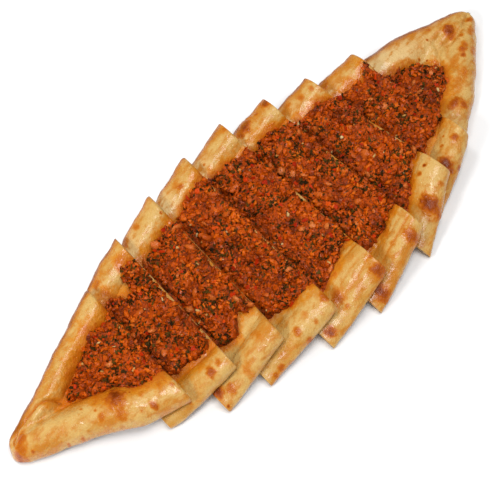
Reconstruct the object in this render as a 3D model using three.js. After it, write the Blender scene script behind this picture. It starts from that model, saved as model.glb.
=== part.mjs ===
// A turkish pide: a boat of flat bread with a minced meat filling, cut across into nine slices
// that are pushed together, so that each slice lies on the next one like a roof tile.
// Millimetres. +X runs along the pide from the slice on top of the row to the lowest one, +Z is up.
// The near side of the bread is its -Y side, the far side its +Y side.
import * as THREE from "three";

// ---- the whole bread, before it is cut --------------------------------------------------------
const BREAD = {
  cutWidths: [88, 111, 123, 137, 141, 131, 110, 94],   // crust to crust at each cut, from the left
  endSlopes: [1.6, 1.75],   // widening of the two pointed ends, mm of width for each mm of length
  tipRadius: 6,              // the pinched ends are blunt
  tipSwell: 2.5,             // and swell by this, which fades out at tipFade from the tip
  tipFade: 30,
  base: 3.2,                 // dough under the filling
};
// Width of the crust roll and its height, one value for each slice, from left to right.
const CRUST = {
  far: {
    width: [17, 18, 19, 20, 20, 20, 20, 20, 21],
    height: [11, 9.5, 9.5, 9.5, 9.5, 9.5, 9.5, 9.5, 10.5],
  },
  near: {
    width: [23, 20, 20, 22, 33, 21, 24, 22, 22],
    height: [13.5, 10, 10, 10, 9, 9.5, 10, 10, 10.5],
  },
  domeWidth: 1.3,   // a roll is lower where the bread is narrower than this times its height
  lowest: 3,
};
// Where the next slice lies on it, the crust is pressed down to this height.
const PRESSED = { height: 7.8, reach: 18, release: 14 };
const ROLL = {
  crown: 0.45,      // place of the crown across the roll, from its outer edge
  crownRoom: 0.85,  // and at most this far across its room
  bulge: 3.4,       // height of the widest line above the underside
  bulgeShare: 0.4,  // and at most this share of the roll's height
  undercut: 2.4,    // how far the underside lies behind that line
  innerPower: 2.3,  // inner slope: higher is steeper where it meets the filling
  lowTurns: [0, 0.5],                    // points round the outside, as shares of a quarter turn
  highTurns: [0, 0.2, 0.42, 0.7],
  slopeShares: [0, 0.35, 0.65, 0.85, 1], // points down the inner slope
};
// At the left end the near crust is folded over the far one: the seam moves to the far side.
const FOLD = { shift: 9, reach: 62 };
const FILLING = {
  thickness: 3.7,
  crumb: 1.7,          // height of its bumps
  jitter: 0.4,         // sideways unevenness of its points, as a share of their spacing
  side: 2.4,           // height of its edge beside the crust
  visibleStep: 2.5,
  hiddenStep: 7,       // under the slice that lies on it
  hiddenShare: 0.36,   // of that slice's length
  setback: 0.8,        // from the cuts
  fewestColumns: 8,
};
const GAP = 0.3;    // between pieces that touch
// The filling stops before the pointed ends. Past it the dough between the rolls is pinched up.
// x: where it stops, along the slice; rise: above the base, reached within reach.
const PINCH = {
  left: { x: 42, rise: 2.5, reach: 6 },
  right: { x: 51, rise: 5, reach: 8 },
};
const DOUGH_STEPS = 5;   // rings along a slice between two cuts
const TIP_STEPS = [0.35, 2, 5, 10, 16, 23, 30, 36, 42, 50, 56, 66, 80];   // rings, from the tip
const REST_REACH = 1.04; // a slice leans on what lies within this share of its length

// ---- the slices, from left to right -----------------------------------------------------------
// length: along the bread; x, y: middle of the left cut, where it stands on the table;
// yaw: turn about the vertical, degrees; lean: sideways slant of the bread across the cuts;
// near, far: how far the roll bulges past the bread's outline, at places along the slice.
const SLICES = [
  {
    length: 95, x: -207.5, y: 20.5, yaw: -6, lean: 0.03,
    near: [[0, 0.8], [38, -0.5], [74, 5.5], [95, 4.2]],
    far: [[0, 3.4], [18, 1.2], [38, -0.8], [62, 0], [82, 1.6]],
  },
  { length: 51, x: -129.5, y: 13.5, yaw: -7, lean: 0.2, near: [[0, -1.4]], far: [[20, 2.2], [50, 1]] },
  { length: 52, x: -97.5, y: 10.5, yaw: -7.5, lean: 0.28, near: [[0, 0.2]], far: [[20, 2.4], [50, 1]] },
  { length: 59, x: -70.5, y: 8.5, yaw: -6.5, lean: 0.22, near: [[0, 0.2]], far: [[25, 1.8], [56, 0.8]] },
  { length: 55, x: -31, y: 3.5, yaw: -4, lean: 0.2, near: [[0, 0.5]], far: [[25, 1.6], [52, 0.9]] },
  { length: 56, x: 2.5, y: -0.5, yaw: -2, lean: 0.2, near: [[0, 0.7]], far: [[25, 1.2], [52, 0.5]] },
  { length: 50.5, x: 44, y: -4.5, yaw: 3.5, lean: 0.21, near: [[0, 0.3]], far: [[22, 3], [48, 0.6]] },
  { length: 53.5, x: 72.5, y: -3.5, yaw: 1, lean: 0.2, near: [[0, -0.8]], far: [[22, 4.2], [48, 0.6]] },
  {
    length: 101, x: 107.5, y: 7.5, yaw: 2, lean: 0.14,
    near: [[0, 2.6], [42, 2.6], [66, 1.2], [92, 0]],
    far: [[20, 2.8], [52, 2.6], [84, 0.3]],
  },
];

const CRUST_FINISH = { color: 0xd9a35b, roughness: 0.55, metalness: 0 };
const FILLING_FINISH = { color: 0xa8451c, roughness: 0.4, metalness: 0 };

// ---- helpers ----------------------------------------------------------------------------------
const SEED = 20241;
function seededRandom(seed) {
  let state = seed;
  return () => {
    state = (state + 0x6d2b79f5) | 0;
    let mixed = Math.imul(state ^ (state >>> 15), 1 | state);
    mixed = (mixed + Math.imul(mixed ^ (mixed >>> 7), 61 | mixed)) ^ mixed;
    return ((mixed ^ (mixed >>> 14)) >>> 0) / 4294967296;
  };
}

const cutPlaces = SLICES.reduce((places, slice) => [...places, places.at(-1) + slice.length], [0]);
const breadLength = cutPlaces.at(-1);
const sliceMiddles = SLICES.map((slice, index) => cutPlaces[index] + slice.length / 2);

// A value given for each slice, blended along the bread.
function alongBread(values, s) {
  const next = sliceMiddles.findIndex((middle) => middle > s);
  if (next === 0) return values[0];
  if (next < 0) return values.at(-1);
  const share = (s - sliceMiddles[next - 1]) / (sliceMiddles[next] - sliceMiddles[next - 1]);
  return THREE.MathUtils.lerp(values[next - 1], values[next], THREE.MathUtils.smoothstep(share, 0, 1));
}

// A value given at a few places, blended softly between them.
function between(pairs, x) {
  const next = pairs.findIndex(([place]) => place > x);
  if (next === 0) return pairs[0][1];
  if (next < 0) return pairs.at(-1)[1];
  const [[start, from], [end, to]] = [pairs[next - 1], pairs[next]];
  return THREE.MathUtils.lerp(from, to, THREE.MathUtils.smoothstep(x, start, end));
}

// How far a slice's roll bulges past the bread's outline at s.
function bulge(index, s, side) {
  return between(side > 0 ? SLICES[index].far : SLICES[index].near, s - cutPlaces[index]);
}

// From the middle line to a slice's outer edge at s: half of the bread's width, a smooth curve
// through the cut widths, with the slice's bulge and with blunt ends.
function outerEdge(index, s, side) {
  const widths = [0, ...BREAD.cutWidths, 0];
  const last = widths.length - 1;
  const slopes = widths.map((_, cut) => {
    if (cut === 0) return BREAD.endSlopes[0];
    if (cut === last) return -BREAD.endSlopes[1];
    return (widths[cut + 1] - widths[cut - 1]) / (cutPlaces[cut + 1] - cutPlaces[cut - 1]);
  });
  const cut = Math.max(0, Math.min(last - 1, cutPlaces.findIndex((place) => place > s) - 1));
  const span = cutPlaces[cut + 1] - cutPlaces[cut];
  const share = (s - cutPlaces[cut]) / span;
  const width = hermite(widths[cut], slopes[cut] * span, widths[cut + 1], slopes[cut + 1] * span, share);
  const { tipRadius, tipSwell, tipFade } = BREAD;
  const toTip = Math.max(0, Math.min(s, breadLength - s));
  const swell = tipSwell * (1 - THREE.MathUtils.smoothstep(toTip, 0, tipFade));
  const blunt = 1 - Math.min(1, toTip / tipRadius);
  return (width / 2 + swell + bulge(index, s, side)) * Math.sqrt(1 - blunt ** 2);
}

function hermite(from, fromSlope, to, toSlope, share) {
  const rest = 1 - share;
  const fromPart = from * (1 + 2 * share) + fromSlope * share;
  const toPart = to * (1 + 2 * rest) - toSlope * rest;
  return rest * rest * fromPart + share * share * toPart;
}

// Sizes of one crust roll of slice number index, where it is cut across at s.
function crustAt(index, s, side) {
  const sizes = side > 0 ? CRUST.far : CRUST.near;
  const half = outerEdge(index, s, side);
  const slope = (outerEdge(index, s + 1, side) - outerEdge(index, s - 1, side)) / 2;
  const width = alongBread(sizes.width, s) * Math.hypot(1, slope || 0) + bulge(index, s, side);
  const released = THREE.MathUtils.smoothstep(s - cutPlaces[index] - PRESSED.reach, 0, PRESSED.release);
  const full = alongBread(sizes.height, s);
  const pressed = index === 0 ? full : Math.min(full, PRESSED.height);
  const dome = Math.sqrt(1 - (1 - Math.min(1, half / (full * CRUST.domeWidth))) ** 2);
  const height = THREE.MathUtils.lerp(pressed, full, released) * dome;
  const seam = FOLD.shift * (1 - THREE.MathUtils.smoothstep(s, 0, FOLD.reach)) * Math.min(1, half / width);
  const room = half - side * seam - GAP;
  return { width, height: Math.max(height, CRUST.lowest), room, floor: panFloor(index, s) };
}

// Height of the dough between the rolls.
function panFloor(index, s) {
  const x = s - cutPlaces[index];
  const { left, right } = PINCH;
  const { smoothstep } = THREE.MathUtils;
  let rise = 0;
  if (index === 0) rise = left.rise * smoothstep(left.x - x, 0, left.reach);
  if (index === SLICES.length - 1) rise = right.rise * smoothstep(x - right.x, 0, right.reach);
  return BREAD.base + rise;
}

// Distance of the crown from the outer edge: less where two rolls share the pinched end.
function crownPlace({ width, room }) {
  return Math.min(width * ROLL.crown, room * ROLL.crownRoom);
}

// Points of one crust roll as [distance in from the outer edge, height], from the underside
// over the crown to the foot of the inner slope.
function rollPoints(crust) {
  const { width, height, room, floor } = crust;
  const crown = crownPlace(crust);
  const bulge = Math.min(ROLL.bulge, height * ROLL.bulgeShare);
  const undercut = Math.min(ROLL.undercut, crown / 2);
  const points = [];
  for (const turn of ROLL.lowTurns) {
    const angle = (turn * Math.PI) / 2;
    points.push([undercut * (1 - Math.sin(angle)), bulge * (1 - Math.cos(angle))]);
  }
  for (const turn of ROLL.highTurns) {
    const angle = (turn * Math.PI) / 2;
    points.push([crown * (1 - Math.cos(angle)), bulge + (height - bulge) * Math.sin(angle)]);
  }
  const foot = Math.min(width, room);
  for (const share of ROLL.slopeShares) {
    const distance = THREE.MathUtils.lerp(crown, foot, share);
    const fall = ((distance - crown) / (width - crown)) ** ROLL.innerPower;
    const slope = height - (height - BREAD.base) * fall;
    points.push([distance, Math.min(height, Math.max(floor, slope))]);
  }
  return points;
}

// Sideways place of the bread's own middle, in the frame of one slice.
function middleLine(index, s) {
  return SLICES[index].lean * (s - sliceMiddles[index]);
}

// ---- solids in the frame of one slice: x along the bread from the left cut --------------------
function closedGeometry(vertices, triangles) {
  const geometry = new THREE.BufferGeometry();
  geometry.setAttribute("position", new THREE.Float32BufferAttribute(vertices.flat(), 3));
  geometry.setIndex(triangles.flat());
  geometry.computeVertexNormals();
  return geometry;
}

function doughStations(index) {
  const [start, end] = [cutPlaces[index], cutPlaces[index + 1]];
  if (index === 0) return [...TIP_STEPS, end];
  if (index === SLICES.length - 1) return [start, ...TIP_STEPS.map((step) => end - step).reverse()];
  const steps = Array.from({ length: DOUGH_STEPS + 1 }, (_, step) => step / DOUGH_STEPS);
  return steps.map((share) => THREE.MathUtils.lerp(start, end, share));
}

function doughGeometry(index) {
  const stations = doughStations(index);
  const rings = stations.map((s) => {
    const [near, far] = [-1, 1].map((side) => {
      const outer = middleLine(index, s) + side * outerEdge(index, s, side);
      return rollPoints(crustAt(index, s, side)).map(([inward, z]) => [outer - side * inward, z]);
    });
    return [...far, ...near.reverse()];
  });
  const count = rings[0].length;
  const places = stations.map((s) => s - cutPlaces[index]);
  const vertices = rings.flatMap((ring, row) => ring.map(([y, z]) => [places[row], y, z]));
  const triangles = [];
  for (let row = 0; row + 1 < rings.length; row += 1) {
    for (let point = 0; point < count; point += 1) {
      const next = (point + 1) % count;
      const [a, b] = [row * count + point, row * count + next];
      triangles.push([a, b, b + count], [a, b + count, a + count]);
    }
  }
  const lastRow = (rings.length - 1) * count;
  const flat = (ring) => ring.map(([y, z]) => new THREE.Vector2(y, z));
  for (const [a, b, c] of THREE.ShapeUtils.triangulateShape(flat(rings[0]), [])) triangles.push([c, b, a]);
  for (const [a, b, c] of THREE.ShapeUtils.triangulateShape(flat(rings.at(-1)), [])) {
    triangles.push([lastRow + a, lastRow + b, lastRow + c]);
  }
  return closedGeometry(vertices, triangles);
}

// The filling lies in the pan between the two crust rolls. Its top edge leans on them.
function panEdges(index, s) {
  const [near, far] = [-1, 1].map((side) => {
    const crust = crustAt(index, s, side);
    const { width, height } = crust;
    const crown = crownPlace(crust);
    const fall = (height - BREAD.base - FILLING.side) / (height - BREAD.base);
    const lean = crown + (width - crown) * fall ** (1 / ROLL.innerPower);
    const edge = outerEdge(index, s, side) - GAP;
    const place = (inward) => middleLine(index, s) + side * (edge - inward);
    return { foot: place(width), top: place(lean) };
  });
  return { near, far };
}

// The same edges anywhere in the slice, straight from one ring of the dough to the next.
function fillingEdges(index, s) {
  const stations = doughStations(index);
  const next = Math.max(1, stations.findIndex((station) => station >= s));
  const share = (s - stations[next - 1]) / (stations[next] - stations[next - 1]);
  const [before, after] = [panEdges(index, stations[next - 1]), panEdges(index, stations[next])];
  const blend = (side, line) => THREE.MathUtils.lerp(before[side][line], after[side][line], share);
  return {
    near: { foot: blend("near", "foot"), top: blend("near", "top") },
    far: { foot: blend("far", "foot"), top: blend("far", "top") },
  };
}

function fillingRange(index) {
  const [start, end] = [cutPlaces[index], cutPlaces[index + 1]];
  const from = index === 0 ? start + PINCH.left.x : start;
  const to = index === SLICES.length - 1 ? start + PINCH.right.x : end;
  return [from + FILLING.setback, to - FILLING.setback];
}

function fillingGeometry(index, random) {
  const [from, to] = fillingRange(index);
  const hiddenEnd = index === 0 ? from : from + SLICES[index - 1].length * FILLING.hiddenShare;
  const rows = [];
  for (let s = from; s < hiddenEnd - FILLING.hiddenStep / 2; s += FILLING.hiddenStep) rows.push(s);
  const fineRows = Math.round((to - hiddenEnd) / FILLING.visibleStep);
  for (let row = 0; row <= fineRows; row += 1) rows.push(THREE.MathUtils.lerp(hiddenEnd, to, row / fineRows));
  const middleEdges = fillingEdges(index, (from + to) / 2);
  const middleWidth = middleEdges.far.top - middleEdges.near.top;
  const columns = Math.max(FILLING.fewestColumns, Math.round(middleWidth / FILLING.visibleStep));
  const vertices = [];
  rows.forEach((s, row) => {
    const { near, far } = fillingEdges(index, s);
    const across = far.top - near.top;
    for (let column = 0; column <= columns; column += 1) {
      const share = column / columns;
      const rim = row === 0 || row === rows.length - 1 || column === 0 || column === columns;
      const jitter = rim ? 0 : (across / columns) * FILLING.jitter * (random() - 0.5);
      const slip = rim ? 0 : FILLING.visibleStep * FILLING.jitter * (random() - 0.5);
      const atSide = column === 0 || column === columns;
      const lift = atSide ? FILLING.side : FILLING.thickness + FILLING.crumb * (random() - 0.5);
      const y = THREE.MathUtils.lerp(near.top, far.top, share) + jitter;
      vertices.push([s - cutPlaces[index] + slip, y, BREAD.base + GAP + lift]);
    }
  });
  const top = (row, column) => row * (columns + 1) + column;
  const triangles = [];
  for (let row = 0; row + 1 < rows.length; row += 1) {
    for (let column = 0; column < columns; column += 1) {
      const [a, b, c, d] = [
        top(row, column), top(row + 1, column), top(row + 1, column + 1), top(row, column + 1),
      ];
      if ((row + column) % 2) triangles.push([a, b, c], [a, c, d]);
      else triangles.push([a, b, d], [b, c, d]);
    }
  }
  const lastRow = rows.length - 1;
  const rim = [];
  for (let row = 0; row < lastRow; row += 1) rim.push([top(row, 0), rows[row], -1]);
  for (let column = 0; column < columns; column += 1) rim.push([top(lastRow, column), to, column / columns]);
  for (let row = lastRow; row > 0; row -= 1) rim.push([top(row, columns), rows[row], 2]);
  for (let column = columns; column > 0; column -= 1) rim.push([top(0, column), from, column / columns]);
  const firstFoot = vertices.length;
  for (const [, s, across] of rim) {
    const { near, far } = fillingEdges(index, s);
    const share = THREE.MathUtils.clamp(across, 0, 1);
    vertices.push([s - cutPlaces[index], THREE.MathUtils.lerp(near.foot, far.foot, share), BREAD.base + GAP]);
  }
  rim.forEach(([upper], place) => {
    const next = (place + 1) % rim.length;
    triangles.push([upper, firstFoot + place, firstFoot + next], [upper, firstFoot + next, rim[next][0]]);
  });
  const outline = rim.map((_, place) => new THREE.Vector2(...vertices[firstFoot + place]));
  for (const [a, b, c] of THREE.ShapeUtils.triangulateShape(outline, [])) {
    triangles.push([firstFoot + c, firstFoot + b, firstFoot + a]);
  }
  return closedGeometry(vertices, triangles);
}

// ---- laying the slices ------------------------------------------------------------------------
// The turn that lifts the right end of a slice until its flat underside clears the slices below.
function restingTilt(slice, lowerPoints) {
  const yaw = THREE.MathUtils.degToRad(slice.yaw);
  let tilt = 0;
  for (const point of lowerPoints) {
    const [dx, dy] = [point.x - slice.x, point.y - slice.y];
    const along = dx * Math.cos(yaw) + dy * Math.sin(yaw);
    const reached = along > 1 && along < slice.length * REST_REACH;
    if (reached) tilt = Math.max(tilt, Math.atan2(point.z + GAP, along));
  }
  return tilt;
}

function worldPoints(mesh) {
  const places = mesh.geometry.getAttribute("position");
  return Array.from({ length: places.count }, (_, vertex) =>
    new THREE.Vector3().fromBufferAttribute(places, vertex).applyMatrix4(mesh.matrixWorld));
}

const crustMaterial = new THREE.MeshStandardMaterial(CRUST_FINISH);
const fillingMaterial = new THREE.MeshStandardMaterial(FILLING_FINISH);

function buildPide() {
  const pide = new THREE.Group();
  let lowerPoints = [];
  for (let index = SLICES.length - 1; index >= 0; index -= 1) {
    const slice = SLICES[index];
    const dough = new THREE.Mesh(doughGeometry(index), crustMaterial.clone());
    dough.name = `dough_${index + 1}`;
    const random = seededRandom(SEED + index);
    const filling = new THREE.Mesh(fillingGeometry(index, random), fillingMaterial.clone());
    filling.name = `filling_${index + 1}`;
    const placed = new THREE.Group();
    placed.position.set(slice.x, slice.y, 0);
    placed.rotation.set(0, -restingTilt(slice, lowerPoints), THREE.MathUtils.degToRad(slice.yaw), "ZYX");
    placed.add(dough, filling);
    pide.add(placed);
    pide.updateMatrixWorld(true);
    lowerPoints = [...worldPoints(dough), ...worldPoints(filling)];
  }
  return pide;
}

export default buildPide();
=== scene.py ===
"""Dresses a sliced turkish pide: baked dough, minced meat filling and the bits strewn over it.

Shapes are worked out in millimetres in the frame of one slice: x along the bread from the
slice's left cut, y across it from the near crust (-) to the far crust (+), z up from its
underside. Each slice then goes to its place in the frame, where meshes are in metres.
"""
from __future__ import annotations

import itertools
import logging
import math
from dataclasses import dataclass, field
from enum import Enum
from typing import Sequence, Union

import bpy
import numpy as np
from mathutils import Matrix, Vector

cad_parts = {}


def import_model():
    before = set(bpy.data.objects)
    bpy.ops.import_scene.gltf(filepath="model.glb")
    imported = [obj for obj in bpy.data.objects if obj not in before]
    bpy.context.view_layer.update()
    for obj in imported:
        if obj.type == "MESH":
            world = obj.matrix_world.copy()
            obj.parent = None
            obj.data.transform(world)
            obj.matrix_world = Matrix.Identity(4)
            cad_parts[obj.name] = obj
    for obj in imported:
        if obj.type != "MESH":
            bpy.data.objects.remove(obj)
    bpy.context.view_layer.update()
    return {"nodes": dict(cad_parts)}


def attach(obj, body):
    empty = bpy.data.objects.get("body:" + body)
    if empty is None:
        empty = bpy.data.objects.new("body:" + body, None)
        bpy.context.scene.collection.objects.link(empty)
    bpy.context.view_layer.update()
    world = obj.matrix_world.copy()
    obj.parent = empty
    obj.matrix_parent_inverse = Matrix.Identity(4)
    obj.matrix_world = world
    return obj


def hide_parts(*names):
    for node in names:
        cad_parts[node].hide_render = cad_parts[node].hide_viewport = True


MM = 0.001
ROOT = "root"
LOG = logging.getLogger("pide")
NEAR, FAR = -1, 1
TINY = 1e-9
CELL_TABLE = 64
Number = Union[float, np.ndarray]
Colour = tuple[float, float, float]
Span = tuple[float, float]
Pairs = tuple[Span, ...]
Stops = tuple[tuple[float, Colour], ...]


# ---- smooth helpers ---------------------------------------------------------------------------
def smooth(low: float, high: float, value: Number) -> Number:
    """A soft step from 0 at low to 1 at high."""
    share = np.clip((np.asarray(value, dtype=float) - low) / (high - low), 0.0, 1.0)
    return share * share * (3.0 - 2.0 * share)


def blend(start: Number, end: Number, share: Number) -> Number:
    """The value that lies a share of the way from start to end."""
    return start + (end - start) * share


def arch(share: Number) -> Number:
    """A quarter circle that rises steeply from 0 at 0 and is level from 1 on."""
    return np.sqrt(1 - (1 - np.clip(share, 0, 1)) ** 2)


def between(pairs: Pairs, x: np.ndarray) -> np.ndarray:
    """A value given at a few places, blended softly between them."""
    total = np.full(np.shape(x), float(pairs[0][1]))
    for (start, low), (end, high) in zip(pairs, pairs[1:]):
        total += (high - low) * smooth(start, end, x)
    return total


def placed(points: np.ndarray, matrix: Matrix) -> np.ndarray:
    """Points, in the last axis, moved by a matrix."""
    table = np.array(matrix)
    return points @ table[:3, :3].T + table[:3, 3]


@dataclass(frozen=True)
class Ripple:
    """One layer of noise: its height, its wavelength, its shift and its stretch in x.

    along is 0 for a pattern that stays the same along x, and below 1 for one drawn out along x.
    """

    height: float
    wavelength: float
    shift: float = 0.0
    along: float = 1.0


class Noise:
    """Seeded gradient noise in three dimensions, between about -1 and 1."""

    CELLS = 256
    GAIN = 1.5

    def __init__(self, seed: int) -> None:
        """Draws the tables.

        Args:
            seed: fixes the pattern.
        """
        rng = np.random.default_rng(seed)
        self.order = np.tile(rng.permutation(self.CELLS), 3)
        arrows = rng.normal(size=(self.CELLS, 3))
        self.arrows = arrows / np.linalg.norm(arrows, axis=1)[:, None]

    def at(self, points: np.ndarray, *ripples: Ripple) -> np.ndarray:
        """The sum of some layers of noise at some points.

        Args:
            points: x, y, z in the last axis.
            ripples: the layers, with lengths in the points' unit.

        Returns:
            One value for each point.
        """
        return sum(
            one.height * self._plain(points * np.array([one.along, 1, 1]) / one.wavelength + one.shift)
            for one in ripples
        )

    def _plain(self, points: np.ndarray) -> np.ndarray:
        """The noise with a wavelength of 1."""
        flat = points.reshape(-1, 3)
        cell = np.floor(flat).astype(int)
        inside = flat - cell
        ease = inside**3 * (inside * (inside * 6 - 15) + 10)
        total = np.zeros(len(flat))
        for corner in np.ndindex(2, 2, 2):
            at = (cell + corner) % self.CELLS
            pick = self.order[self.order[self.order[at[:, 0]] + at[:, 1]] + at[:, 2]]
            pull = np.einsum("ij,ij->i", self.arrows[pick], inside - corner)
            weight = np.prod(np.where(np.array(corner) == 1, ease, 1 - ease), axis=1)
            total += weight * pull
        return (total * self.GAIN).reshape(points.shape[:-1])


def crumb_cells(places: np.ndarray, size: float, seed: int) -> tuple[np.ndarray, ...]:
    """Uneven cells like packed crumbs.

    Args:
        places: n rows of x, y.
        size: mean width of a cell.
        seed: fixes the cells.

    Returns:
        For each place the distances to the nearest and second nearest cell middle, as a share of
        size, and a random number of the nearest cell between 0 and 1.
    """
    scaled = places / size
    cell = np.floor(scaled).astype(int)
    table = np.random.default_rng(seed).random((CELL_TABLE, CELL_TABLE, 3))
    nearest, second = np.full((2, len(places)), np.inf)
    tone = np.zeros(len(places))
    for step in np.ndindex(3, 3):
        at = cell + np.array(step) - 1
        draw = table[at[:, 0] % CELL_TABLE, at[:, 1] % CELL_TABLE]
        distance = np.linalg.norm(at + draw[:, :2] - scaled, axis=1)
        closer = distance < nearest
        second = np.where(closer, nearest, np.minimum(second, distance))
        tone = np.where(closer, draw[:, 2], tone)
        nearest = np.where(closer, distance, nearest)
    return nearest, second, tone


# ---- the bread --------------------------------------------------------------------------------
@dataclass(frozen=True)
class Slice:
    """One slice: its length, where its left cut stands, and how the filling lies on it.

    near_bulge and far_bulge are pairs of a place x and how far the roll bulges past the bread's
    outline there. near and far are pairs of a place x and how far the filling's edge climbs on
    the crust; below 0 it leaves a strip of bare dough. filled is where the filling begins and
    ends, soft_end is the radius of the crust's edge at the right cut, soak is how far red oil
    has crept into the dough round the filling, fresh is how far past the slice above the far
    crust stays pale, toast is how much more mottled than usual the near and far crusts are, and
    the last field is how dark the far edge is painted, partly as browning and partly as painted
    shade on the slope that faces away from the light.
    """

    length: float
    x: float
    y: float
    yaw: float
    lean: float
    near_bulge: Pairs
    far_bulge: Pairs
    near: Pairs
    far: Pairs
    filled: Span = (0.0, math.inf)
    soft_end: float = 0.9
    soak: float = 8.0
    fresh: float = 15.0
    toast: Span = (0.0, 0.0)
    scorch_and_shade: float = 0.78

    def placing(self, tilt: float) -> Matrix:
        """The matrix from the slice's own millimetres to the frame's metres."""
        turned = Matrix.Rotation(math.radians(self.yaw), 4, "Z") @ Matrix.Rotation(-tilt, 4, "Y")
        return Matrix.Scale(MM, 4) @ Matrix.Translation((self.x, self.y, 0.0)) @ turned


@dataclass(frozen=True)
class Roll:
    """Sizes of one crust roll at some places along the bread."""

    half: np.ndarray
    width: np.ndarray
    height: np.ndarray
    room: np.ndarray

    CROWN = 0.45
    CROWN_ROOM = 0.85
    BULGE = 3.4
    BULGE_SHARE = 0.4
    UNDERCUT = 2.4
    INNER_POWER = 2.3

    @property
    def crown(self) -> np.ndarray:
        """Distance of the crown from the outer edge."""
        return np.minimum(self.width * self.CROWN, self.room * self.CROWN_ROOM)

    @property
    def foot(self) -> np.ndarray:
        """Distance of the foot of the inner slope from the outer edge."""
        return np.minimum(self.width, self.room)

    def inner(self, distance: np.ndarray, base: float) -> np.ndarray:
        """Height of the inner slope at a distance from the outer edge."""
        fall = np.clip((distance - self.crown) / (self.width - self.crown), 0.0, 1.0)
        return self.height - (self.height - base) * fall**self.INNER_POWER

    def columns(self) -> "Roll":
        """The same sizes as columns, for points in rows."""
        return Roll(*(values[:, None] for values in (self.half, self.width, self.height, self.room)))

    def chain(self, base: float, low: int, high: int, inner: int) -> tuple[np.ndarray, ...]:
        """Points over a roll in columns, from its contact with the table to the inner foot.

        Args:
            base: height of the dough under the filling.
            low: points below the widest line.
            high: points from there up to the crown.
            inner: points down the inner slope.

        Returns:
            Distances from the outer edge and heights, one row for each place.
        """
        bulge = np.minimum(self.BULGE, self.height * self.BULGE_SHARE)
        undercut = np.minimum(self.UNDERCUT, self.crown / 2)
        turn = np.linspace(0, math.pi / 2, low, endpoint=False)
        below = undercut * (1 - np.sin(turn)), bulge * (1 - np.cos(turn))
        turn = np.linspace(0, math.pi / 2, high, endpoint=False)
        above = self.crown * (1 - np.cos(turn)), bulge + (self.height - bulge) * np.sin(turn)
        distance = self.crown + (self.foot - self.crown) * np.linspace(0, 1, inner)
        slope = distance, self.inner(distance, base)
        return tuple(np.hstack(parts) for parts in zip(below, above, slope))


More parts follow.
